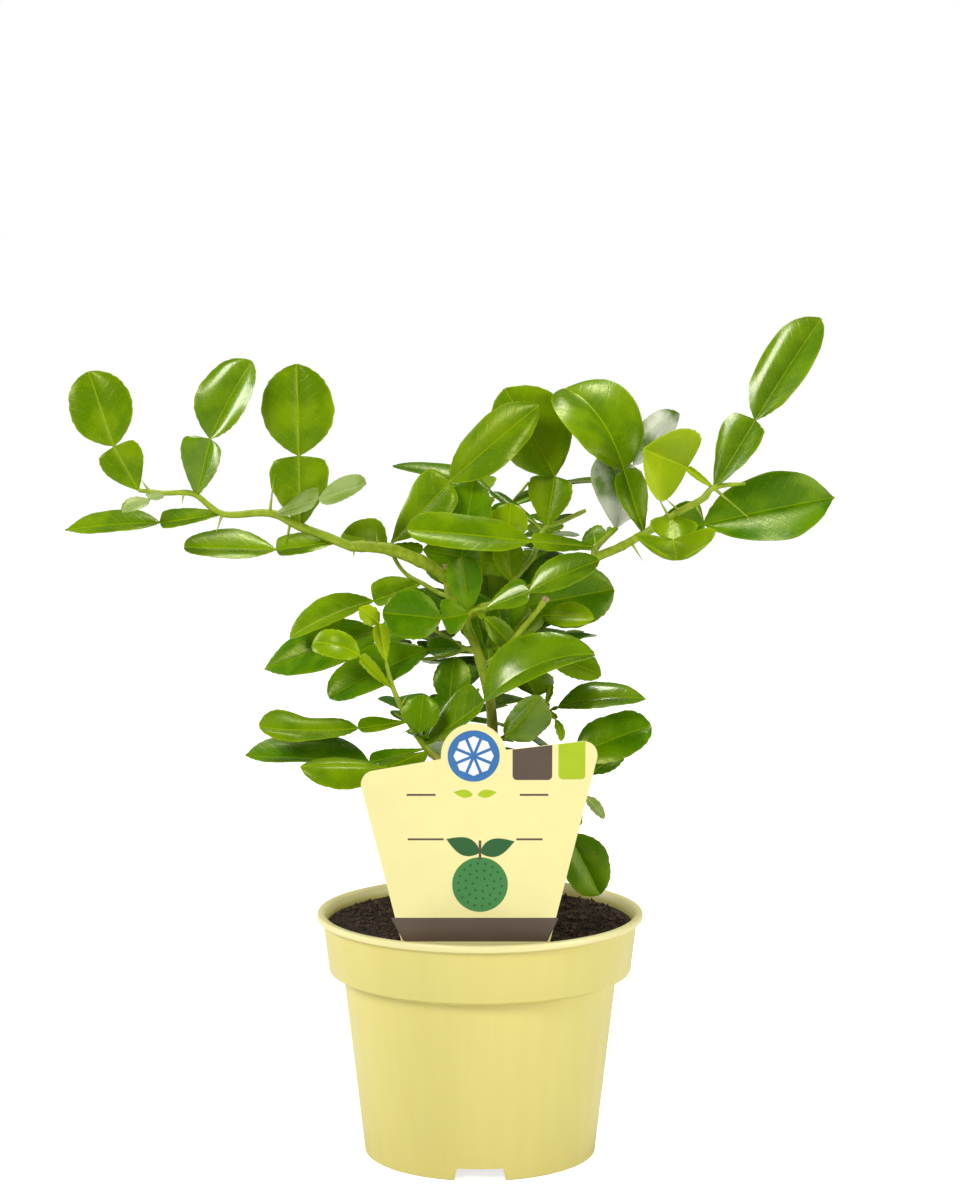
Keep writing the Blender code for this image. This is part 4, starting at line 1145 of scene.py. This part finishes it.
placed = [limb_tree(name) for name in LIMBS] + [stem_tree(route) for _, route, _ in SPRAYS.values()]
grown = {name: [] for name in SPRAYS}
for name, (_, route, poses) in SPRAYS.items():
    points = spline_points(route)
    for number, pose in enumerate(poses):
        foot = station(points, pose["at"])[0]
        lean = settle(foot, pose, placed)
        if lean is not None:
            grown[name].append((foot, pose, lean, number))
twigs = {}
for name, (_, route, _) in SPRAYS.items():
    twigs[name], more_leaves = grow(name, spline_points(route), placed)
    grown[name] += more_leaves
print(sum(len(leaves) for leaves in grown.values()), "leaves,", sum(len(t) for t in twigs.values()), "side twigs")

# %% [markdown]
# ## Bark, boughs and stems
# The bark of a young citrus is green, finely ridged along the limb, and swells where a leaf or a
# thorn sits. Each limb is a many-sided tube along its route. Its points are then moved in and
# out by noise that is stretched along Z, so that the ridges are real geometry. Towards the
# soil the ridges get rougher and the bark turns brown.

# %% Bark relief
BARK_SIDES = 14
BARK_STEPS = 9
RIDGE = 0.03  # of the limb's radius
KNOT = 0.13
KNOT_SPACING = 13.0


def bark_limb(route, sides=BARK_SIDES, steps=BARK_STEPS, sink=0.0, seed=0):
    """A limb with ridges and knots; sink pulls its foot into its parent."""
    points = spline_points(route, steps)
    if sink:
        start = points[0].copy()
        back = (points[0].xyz - points[1].xyz).normalized() * sink
        start[0], start[1], start[2] = start[0] + back.x, start[1] + back.y, start[2] + back.z
        points = [start] + points
    walked = 0.0
    shaped = []
    for number, point in enumerate(points):
        if number:
            walked += (point.xyz - points[number - 1].xyz).length
        near = abs((walked + seed * 3.7) % KNOT_SPACING - KNOT_SPACING / 2)
        swell = 1 + KNOT * math.exp(-((near / 1.3) ** 2)) - 0.03
        shaped.append(Vector((*point.xyz, point[3] * swell)))
    limb = tube(shaped, sides)
    axis = [point.xyz for point in shaped]
    for vertex in limb.data.vertices:
        place = vertex.co / MM
        middle = min(axis, key=lambda point: (point - place).length_squared)
        out = place - middle
        rough = 1.8 if place.z < 150 and out.length > 1.9 else 1.0
        ridge = noise.noise(Vector((place.x * 1.9, place.y * 1.9, place.z * 0.35 + seed)))
        ridge += 0.5 * noise.noise(place * 2.3)
        vertex.co = (middle + out * (1 + RIDGE * rough * ridge)) * MM + POT_AXIS
    return limb


bark_pieces = [bark_limb(route, sink=1.2 if parent else 0.0, seed=number)
               for number, (parent, route) in enumerate(LIMBS.values())]
bark = joined(bark_pieces)

# %% [markdown]
# ### Bark finish
# Green with lighter blotches and small pores in its relief. The brown share grows towards the
# soil, read from the height in Object coordinates, and comes in upright streaks.

# %% Bark finish
BARK_GREEN = (0.215, 0.32, 0.004, 1)
BARK_PALE = (0.37, 0.45, 0.02, 1)
BARK_BROWN = (0.26, 0.21, 0.05, 1)
BROWN_BELOW, BROWN_FROM = 0.215, 0.165

bark_skin, shader = new_finish("young_citrus_bark", 0.5, Specular_IOR_Level=0.25)
along = grain(bark_skin, object_place(bark_skin, (900, 900, 160)), 1.0, 4.0)
blotches = grain(bark_skin, object_place(bark_skin), 330.0, 4.0)
pores = grain(bark_skin, object_place(bark_skin), 1400.0, 2.0)
streaked = blended(bark_skin, stretched(bark_skin, blotches, 0.38, 0.7), BARK_GREEN, BARK_PALE)
height_node = add_node(bark_skin, "ShaderNodeSeparateXYZ", {0: object_place(bark_skin)}).outputs["Z"]
brown_share = maths(
    bark_skin, "MULTIPLY", stretched(bark_skin, height_node, BROWN_BELOW, BROWN_FROM, 0.05, 0.75),
    stretched(bark_skin, along, 0.25, 0.6, 0.5, 1.2),
)
colour_of(bark_skin, shader, blended(bark_skin, brown_share, streaked, BARK_BROWN))
relief(bark_skin, shader, maths(bark_skin, "ADD", blotches, pores), 0.3, 0.0003)
closed_piece(bark, "trunk_and_boughs", bark_skin, list(LIMBS), 50)

# %% [markdown]
# ### Cut tops
# Where the nursery pruned the tree, the wood has dried to a brown cap a little wider than the
# green below it. A cylinder with its top inset and pressed in gives the cap.

# %% Cut tops
CUT_TOPS = {"trunk": 1.9, "stem_pruned": 1.75}
CAP_HEIGHT = 1.8


def cap_on(route, radius):
    points = spline_points(route, 6)
    end, way = points[-1].xyz, (points[-1].xyz - points[-3].xyz).normalized()
    start_fresh()
    bpy.ops.mesh.primitive_cylinder_add(
        vertices=20, radius=radius * MM, depth=CAP_HEIGHT * MM,
        location=placed_at(*(end - way * (CAP_HEIGHT / 2 - 0.25))), rotation=way.to_track_quat("Z", "Y").to_euler(),
    )
    cap = bpy.context.object
    bpy.ops.object.transform_apply(location=True, rotation=True, scale=True)
    edit_all(cap, "DESELECT")
    bpy.ops.object.mode_set(mode="OBJECT")
    for face in cap.data.polygons:
        face.select = face.normal.dot(way) > 0.9
    bpy.ops.object.mode_set(mode="EDIT")
    bpy.ops.mesh.inset(thickness=0.35 * MM, depth=0.12 * MM)
    bpy.ops.mesh.inset(thickness=0.5 * MM, depth=-0.3 * MM)
    bpy.ops.object.mode_set(mode="OBJECT")
    bevel = cap.modifiers.new("bevel", "BEVEL")
    bevel.width = 0.12 * MM
    bevel.segments = 2
    apply_all(cap)
    return cap


dry_wood = peat_finish("dry_cut_wood", (0.26, 0.18, 0.07, 1), (0.46, 0.35, 0.16, 1), 0.7)
caps = joined([cap_on(LIMBS[name][1], radius) for name, radius in CUT_TOPS.items()])
closed_piece(caps, "cut_tops", dry_wood)

# %% [markdown]
# ### Spray stems, twigs and thorns
# The stems of the sprays are younger wood: smoother, brighter green. Thorns sit in the leaf
# axils. One thorn is a slender cone, aimed with the same protractor reading as a leaf.

# %% Stems, twigs and thorns
THORNS = {  # limb or spray: share of its length, angle, lean to the viewer, length
    "bough_left": [(0.97, 268, 8, 5.0), (0.74, 98, 10, 6.5)],
    "bough_right": [(0.76, 100, 20, 14.0), (0.94, 303, 20, 10.5)],
    "foliage_left_arm": [
        (0.95, 124, 10, 6.5), (0.60, 252, 15, 9.0), (0.29, 258, -25, 19.0), (0.39, 82, 20, 18.0), (0.80, 262, 10, 5.0),
    ],
    "foliage_right_arm": [(0.38, 136, 25, 10.0), (0.28, 119, 5, 12.0), (0.73, 320, 12, 23.0), (0.52, 300, 10, 7.0)],
    "foliage_centre": [(0.62, 136, 8, 12.0)],
    "foliage_low_left": [(0.30, 200, 20, 5.0), (0.55, 60, 10, 6.0)],
    "foliage_crown_left": [(0.6, 120, 20, 6.0)],
    "foliage_back_top": [(0.5, 60, -30, 9.0)],
    "foliage_back_mid": [(0.45, 130, -50, 9.0), (0.75, 30, -40, 7.0)],
    "foliage_back_low": [(0.5, 120, -50, 8.0)],
    "foliage_low_right": [(0.5, 100, 10, 6.0)],
}
THORN_FOOT = 0.85


def thorn_on(route, share, angle, out, length):
    foot, _ = station(spline_points(route, 6), share)
    way = aim(angle, out)
    start_fresh()
    bpy.ops.mesh.primitive_cone_add(
        vertices=8, radius1=THORN_FOOT * MM, radius2=0.05 * MM, depth=length * MM,
        location=placed_at(*(foot + way * length / 2)), rotation=way.to_track_quat("Z", "Y").to_euler(),
    )
    thorn = bpy.context.object
    edit_all(thorn)
    bpy.ops.mesh.subdivide(number_cuts=2)
    bpy.ops.object.mode_set(mode="OBJECT")
    bpy.ops.object.transform_apply(location=True, rotation=True, scale=True)
    middle = POT_AXIS + foot * MM
    for vertex in thorn.data.vertices:
        share = (vertex.co - middle).dot(way) / (length * MM)
        axis = middle + way * share * length * MM
        vertex.co = axis + (vertex.co - axis) * (1 - 0.6 * share * (1 - share))
    return thorn


stems = joined([bark_limb(route, 10, 6, sink=0.6, seed=number + 20)
                for number, (_, route, _) in enumerate(SPRAYS.values())])
side_twigs_made = joined([
    bark_limb(route, 8, 5, sink=0.4, seed=number) for number, route in enumerate(sum(twigs.values(), []))
])
routes = {**{name: route for name, (_, route) in LIMBS.items()}, **{n: route for n, (_, route, _) in SPRAYS.items()}}
thorns = joined([thorn_on(routes[name], *reading) for name, readings in THORNS.items() for reading in readings])

# %% [markdown]
# ### Stem finish
# Young wood is a clear yellow-green with a soft gloss; thorns are the same green with
# yellowish flecks.

# %% Stem finish
def stem_finish(name, green, pale, roughness=0.42):
    finish, shader = new_finish(name, roughness, Specular_IOR_Level=0.4)
    streaks = grain(finish, object_place(finish), 260.0, 4.0)
    colour_of(finish, shader, blended(finish, stretched(finish, streaks, 0.35, 0.68), green, pale))
    relief(finish, shader, grain(finish, object_place(finish), 900.0, 3.0), 0.25, 0.0003)
    return finish


young_stem = stem_finish("young_stem", (0.22, 0.33, 0.003, 1), (0.34, 0.43, 0.015, 1))
closed_piece(stems, "spray_stems", young_stem, sharp=50)
closed_piece(side_twigs_made, "side_twigs", young_stem, sharp=50)
closed_piece(thorns, "thorns", stem_finish("thorn_green", (0.22, 0.33, 0.01, 1), (0.40, 0.46, 0.05, 1)),
             sharp=60)

# %% [markdown]
# ## Leaves
# A lime leaf is leathery and glossy. The two halves of its blade bulge a little between the sunk
# midrib and the margin, the margin is finely and bluntly toothed, and older blades wave. Each
# leaf here is a fine grid of points laid along the cross-sections of its solid, so it keeps its
# place and outline, and gains the form of the real one. The leaves of one finish are joined.

# %% One fine leaf
COLUMNS = (-1.0, -0.84, -0.64, -0.44, -0.26, -0.12, -0.04, 0.0, 0.04, 0.12, 0.26, 0.44, 0.64, 0.84, 1.0)
FINE_STEPS = 5
TOOTH_PITCH = 2.8
TOOTH = 0.5
LEAF_SKIN = 0.28
BULGE = 0.10
GROOVE = 0.22
KEEL = 0.25
BLUNT_FROM = 0.55
TIPS = {  # how full the end of a blade is: under 1 blunt, over 1 drawn out
    "foliage_right_arm0": 0.75, "foliage_right_arm1": 1.6, "foliage_right_arm2": 0.5, "foliage_low_right0": 1.3,
    "foliage_left_arm0": 0.5, "foliage_left_arm3": 1.5, "foliage_left_arm6": 0.8, "foliage_low_left0": 1.15,
    "foliage_left_mid0": 0.7, "foliage_left_mid1": 1.3, "foliage_crown_left2": 1.0, "foliage_low_left4": 0.6,
    "foliage_right_crown0": 0.5, "foliage_low_right_foot0": 0.7, "foliage_front1": 0.7,
}
USUAL_TIP = 0.9
WAVY = {"foliage_low_left4": 0.2, "foliage_low_left0": 0.12, "foliage_right_arm1": 0.13}
USUAL_WAVES = (0.02, 0.07)
CUPPED = {"foliage_right_arm2": (1.5, -0.08)}


def fine_outline(outline):
    """Stations of a leaf's outline on a smooth curve through its table: share of length, share of width."""
    return [(point.x, max(0.0, point.y)) for point in spline_points(outline, FINE_STEPS)]


def bowed(slope, keel):
    """How far a folded half has risen at a share of its width: round at the midrib, not a sharp crease."""
    return (math.hypot(slope, keel) - keel) / (math.hypot(1, keel) - keel)


def fine_rings(foot, pose, lean, tip):
    """The solid's cross-sections again, but closer together: middle, side, upper, half width, way walked."""
    along = aim(pose["wing_angle"], pose["wing_out"] + lean)
    upper = facing(along, pose["tip"])
    middle = Vector(foot)
    rings = []
    if pose["wing"]:
        wing_half = pose["width"] * 0.35 * min(1.15, pose["wing"] / (0.5 * pose["blade"])) * pose["flare"]
        for share, breadth in fine_outline(WING_OUTLINE + ((1.0, 0.06),)):
            half = max(0.35, wing_half * breadth)
            rings.append((middle + along * pose["wing"] * share, along.cross(upper), upper, half, pose["wing"] * share))
        middle = middle + along * pose["wing"]
    along = aim(pose["angle"], pose["out"] + lean)
    upper = facing(along, pose["tip"])
    side = along.cross(upper)
    bend = math.radians(-pose["curl"])
    last = 0.0
    for share, breadth in fine_outline(BLADE_OUTLINE):
        turn = Matrix.Rotation(bend * (share + last) / 2, 3, side)
        middle = middle + (turn @ along) * pose["blade"] * (share - last)
        blunt = breadth**tip if share > BLUNT_FROM else breadth
        half = max(0.35, pose["width"] / 2 * blunt)
        walked = pose["wing"] + pose["blade"] * share
        rings.append((middle, side, Matrix.Rotation(bend * share, 3, side) @ upper, half, walked))
        last = share
    return rings


def fine_leaf(heap, uvs, rims, foot, pose, lean, seed):
    """Adds one leaf's upper face to a heap, with its ways along and across as UV, in centimetres."""
    seeded = random.Random(seed)
    wave = WAVY.get(seed, seeded.uniform(*USUAL_WAVES))
    waves = seeded.uniform(1.2, 2.2)
    phase = seeded.uniform(0, math.tau)
    shift = seeded.uniform(0, 40)
    rise = math.radians(pose["fold"])
    keel, bulge = CUPPED.get(seed, (KEEL, BULGE))
    whole = pose["wing"] + pose["blade"]
    rings = fine_rings(foot, pose, lean, TIPS.get(seed, USUAL_TIP))
    points = []
    for middle, side, upper, half, walked in rings:
        tooth = 1 - TOOTH / max(half, 1.0) * (1 - abs(math.cos(math.pi * walked / TOOTH_PITCH)))
        for column in COLUMNS:
            slope = abs(column)
            sway = wave * math.sin(phase + math.tau * waves * walked / whole + column * 1.3)
            across = column * half * (tooth if slope == 1 else 1) * (1 + 0.6 * slope * sway)
            lift = bowed(slope, keel) * half * math.sin(rise) + bulge * half * math.sin(math.pi * slope)
            lift += sway * half * slope**3
            lift -= GROOVE * max(0.0, 1 - slope / 0.06) * min(1.0, half / 5)
            points.append(middle + side * across * math.cos(rise) + upper * lift)
            uvs.append(((walked + shift) / 10, column * half / 10))
            rims.append(slope)
    width = len(COLUMNS)
    faces = []
    for i in range(len(rings) - 1):
        faces += [(i * width + k, i * width + k + 1, (i + 1) * width + k + 1, (i + 1) * width + k) for k in range(width - 1)]
    heap.add(points, faces)


def leaf_piece(leaves):
    """Many fine leaves as one mesh, with a skin of real thickness under the upper face."""
    heap, uvs, rims = Heap(), [], []
    for leaf_facts in leaves:
        fine_leaf(heap, uvs, rims, *leaf_facts)
    mesh = bpy.data.meshes.new("leaves")
    mesh.from_pydata([placed_at(*point) for point in heap.points], [], heap.faces)
    layer = mesh.uv_layers.new(name="along_and_across")
    for loop in mesh.loops:
        layer.data[loop.index].uv = uvs[loop.vertex_index]
    mesh.attributes.new("rim", "FLOAT", "POINT").data.foreach_set("value", rims)
    obj = bpy.data.objects.new("leaves", mesh)
    bpy.context.scene.collection.objects.link(obj)
    skin = obj.modifiers.new("skin", "SOLIDIFY")
    skin.thickness = LEAF_SKIN * MM
    skin.offset = -1
    apply_all(obj)
    return obj


# %% [markdown]
# ### Leaf finish
# Old leaves are deep green, young ones yellow-green. All show a pale midrib and fine side veins
# that sweep towards the tip. The veins are drawn from the leaf's own ways along and across, which
# its UV map carries. The gloss comes from a waxy coat, and it is broken up by a fine relief so
# that highlights look like leaf and not like glass. The silvery finish also has its sheen painted:
# its light grey-green patches are a painted highlight in the base colour.

# %% Leaf finish
VEIN_SPACING = 0.52  # centimetres along the midrib
VEIN_SWEEP = 0.85
MIDRIB_HALF = 0.045
WAXY_TINT = (1.0, 1.0, 0.3, 1)


def leaf_finish(name, deep, bright, vein, roughness, coat=0.0):
    finish, shader = new_finish(name, roughness, Specular_IOR_Level=0.32, Coat_Weight=coat, Coat_Roughness=0.16)
    shader.inputs["Specular Tint"].default_value = WAXY_TINT
    ways = add_node(finish, "ShaderNodeUVMap", uv_map="along_and_across").outputs[0]
    split = add_node(finish, "ShaderNodeSeparateXYZ", {0: ways})
    across = maths(finish, "ABSOLUTE", split.outputs["Y"])
    wander = grain(finish, object_place(finish), 160.0, 2.0)
    swept = maths(finish, "SUBTRACT", split.outputs["X"], maths(finish, "MULTIPLY", across, VEIN_SWEEP))
    swept = maths(finish, "ADD", swept, maths(finish, "MULTIPLY", wander, 0.22))
    far = maths(finish, "PINGPONG", swept, VEIN_SPACING / 2)
    veins = stretched(finish, far, 0.045, 0.0)
    midrib = stretched(finish, across, MIDRIB_HALF, MIDRIB_HALF * 0.3)
    patches = grain(finish, object_place(finish), 60.0, 6.0)
    glands = stretched(finish, grain(finish, object_place(finish), 1100.0, 1.0), 0.68, 0.76)
    fine = grain(finish, object_place(finish), 700.0, 3.0)
    # deep to bright patches: real mottling, and on the silvery finish a painted sheen
    lamina = blended(finish, stretched(finish, patches, 0.42, 0.58), deep, bright)
    lamina = blended(finish, maths(finish, "MULTIPLY", glands, 0.35), lamina, vein)
    lamina = blended(finish, maths(finish, "MULTIPLY", veins, 0.10), lamina, vein)
    rim = add_node(finish, "ShaderNodeAttribute", attribute_name="rim").outputs["Fac"]
    lamina = blended(finish, stretched(finish, rim, 0.9, 1.0, 0.0, 0.4), lamina, vein)
    colour_of(finish, shader, blended(finish, maths(finish, "MULTIPLY", midrib, 0.65), lamina, vein))
    height = maths(finish, "SUBTRACT", maths(finish, "MULTIPLY", fine, 0.35), maths(finish, "MULTIPLY", veins, 0.25))
    relief(finish, shader, height, 0.34, 0.0004)
    rough = stretched(finish, fine, 0.3, 0.7, roughness - 0.04, roughness + 0.08)
    finish.node_tree.links.new(rough, shader.inputs["Roughness"])
    return finish


LEAF_FINISHES = {
    "d": ("leaves_deep", leaf_finish("deep_leaf", (0.052, 0.155, 0.0, 1), (0.108, 0.230, 0.0, 1),
                                     (0.24, 0.37, 0.0, 1), 0.27)),
    "m": ("leaves_mature", leaf_finish("mature_leaf", (0.095, 0.195, 0.0, 1), (0.160, 0.275, 0.0, 1),
                                       (0.34, 0.46, 0.0, 1), 0.27)),
    "b": ("leaves_bright", leaf_finish("bright_leaf", (0.140, 0.255, 0.0, 1), (0.220, 0.345, 0.0, 1),
                                       (0.42, 0.54, 0.0, 1), 0.29)),
    "y": ("leaves_young", leaf_finish("young_leaf", (0.255, 0.380, 0.0, 1), (0.350, 0.460, 0.0, 1),
                                      (0.50, 0.60, 0.02, 1), 0.38)),
    "g": ("leaves_glossy", leaf_finish("glossy_leaf", (0.090, 0.195, 0.0, 1), (0.150, 0.275, 0.0, 1),
                                       (0.32, 0.46, 0.0, 1), 0.24, 0.6)),
    "p": ("leaves_pale", leaf_finish("pale_leaf_back", (0.180, 0.275, 0.040, 1), (0.280, 0.370, 0.110, 1),
                                     (0.46, 0.54, 0.20, 1), 0.34)),
    # silvery leaf: its pale grey-green patches are a painted sheen, a painted highlight in the base colour, beside its
    # real coat gloss
    "s": ("leaves_painted_sheen", leaf_finish("painted_sheen_leaf", (0.090, 0.175, 0.010, 1), (0.560, 0.600, 0.460, 1),
                                        (0.50, 0.58, 0.28, 1), 0.26, 0.6)),
}

# %% Deal the finishes out and make the leaves
LOOKS = {  # one letter for each posed leaf of a spray, in the order of the table
    "foliage_left_arm": "mmpmgpm",
    "foliage_right_arm": "mdbgy",
    # the s in this row is the leaf with the painted sheen
    "foliage_right_crown": "msd",
    "foliage_centre": "bmd",
    "foliage_crown_left": "mdmb",
    "foliage_front": "gddm",
    "foliage_left_mid": "dd",
    "foliage_low_left": "dgddmbym",
    "foliage_right_mid": "dmbd",
    "foliage_low_right": "ggmb",
    "foliage_low_right_foot": "ddpd",
}
SEEDED_LOOKS = "dmdmmd"

by_look = {look: [] for look in LEAF_FINISHES}
spray_of = {look: set() for look in LEAF_FINISHES}
for name, leaves in grown.items():
    for count, (foot, pose, lean, number) in enumerate(leaves):
        looks = LOOKS.get(name, "")
        look = looks[number] if number is not None else SEEDED_LOOKS[count % len(SEEDED_LOOKS)]
        by_look[look].append((foot, pose, lean, f"{name}{count}"))
        spray_of[look].add(name)
for look, (piece_name, finish) in LEAF_FINISHES.items():
    closed_piece(leaf_piece(by_look[look]), piece_name, finish, sorted(spray_of[look]), 60)

# %% [markdown]
# ## Floor and light
# The plant stands on a plain pale floor in a white room. A product shot is lit so that the room
# behind goes white while the plant keeps its shades, so floor and room look brighter than they
# light, and the room is darker still in the gloss of a leaf: the Light Path node tells these
# apart. A large soft light from the upper left models the leaves, softboxes behind and overhead
# give the waxy ones their white highlights, and a weak light from the right fills the shade.

# %% Floor
FLOOR_HALF = 20.0
FLOOR_GLOW = 0.74
ROOM_LIGHT = 0.36
ROOM_GLOSS = 0.08


def seen_or_lighting(nodes, links, socket, seen, lighting, mirrored):
    """Feeds a strength with values for what the camera sees, what it lights and what gloss mirrors."""
    path = nodes.new("ShaderNodeLightPath")
    unseen = nodes.new("ShaderNodeMapRange")
    unseen.inputs["To Min"].default_value = lighting
    unseen.inputs["To Max"].default_value = mirrored
    links.new(path.outputs["Is Glossy Ray"], unseen.inputs["Value"])
    strength = nodes.new("ShaderNodeMapRange")
    links.new(unseen.outputs[0], strength.inputs["To Min"])
    strength.inputs["To Max"].default_value = seen
    links.new(path.outputs["Is Camera Ray"], strength.inputs["Value"])
    links.new(strength.outputs[0], socket)


start_fresh()
bpy.ops.mesh.primitive_plane_add(size=2 * FLOOR_HALF, location=(0, 0, 0))
floor = bpy.context.object
floor.name = "studio_floor"
floor_paint, shader = new_finish("pale_studio_floor", 0.9, Specular_IOR_Level=0.1)
cloud = grain(floor_paint, object_place(floor_paint), 2.0, 2.0)
colour_of(floor_paint, shader, blended(floor_paint, cloud, (0.78, 0.78, 0.775, 1), (0.80, 0.80, 0.80, 1)))
shader.inputs["Emission Color"].default_value = (1, 1, 1, 1)
paint_tree = floor_paint.node_tree
seen_or_lighting(paint_tree.nodes, paint_tree.links, shader.inputs["Emission Strength"], FLOOR_GLOW, 0.0, 0.0)
floor.data.materials.append(floor_paint)
floor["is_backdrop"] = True

# %% Light
bpy.context.scene.view_settings.view_transform = "Standard"
world = bpy.data.worlds.new("white_room")
world.use_nodes = True
room = world.node_tree.nodes["Background"]
room.inputs["Color"].default_value = (1, 1, 1, 1)
room_links = world.node_tree.links
seen_or_lighting(world.node_tree.nodes, room_links, room.inputs["Strength"], 1.0, ROOM_LIGHT, ROOM_GLOSS)
bpy.context.scene.world = world


def soft_light(name, place, target, size, power):
    """A square area light that looks from a place at a target, both in metres."""
    start_fresh()
    way = Vector(target) - Vector(place)
    bpy.ops.object.light_add(type="AREA", location=place, rotation=way.to_track_quat("-Z", "Y").to_euler())
    light = bpy.context.object
    light.name = name
    light.data.size = size
    light.data.energy = power
    return light


soft_light("key_softbox", (-0.9, -1.5, 1.2), (0, 0, 0.2), 0.6, 22)
soft_light("fill_softbox", (1.5, -0.7, 0.6), (0, 0, 0.15), 0.9, 14)
soft_light("side_softbox", (-1.45, 0.5, 0.75), (0, 0, 0.2), 0.6, 10)
soft_light("top_softbox", (0.1, 0.35, 1.6), (0, 0, 0.2), 0.4, 11)

# %% Sizes and finish
MODEL_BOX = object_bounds()
sizes = {
    "cad": [list(corner) for corner in cad_box],
    "visual": [list(corner) for corner in MODEL_BOX],
}
print("cad", sizes["cad"])
print("visual", sizes["visual"])
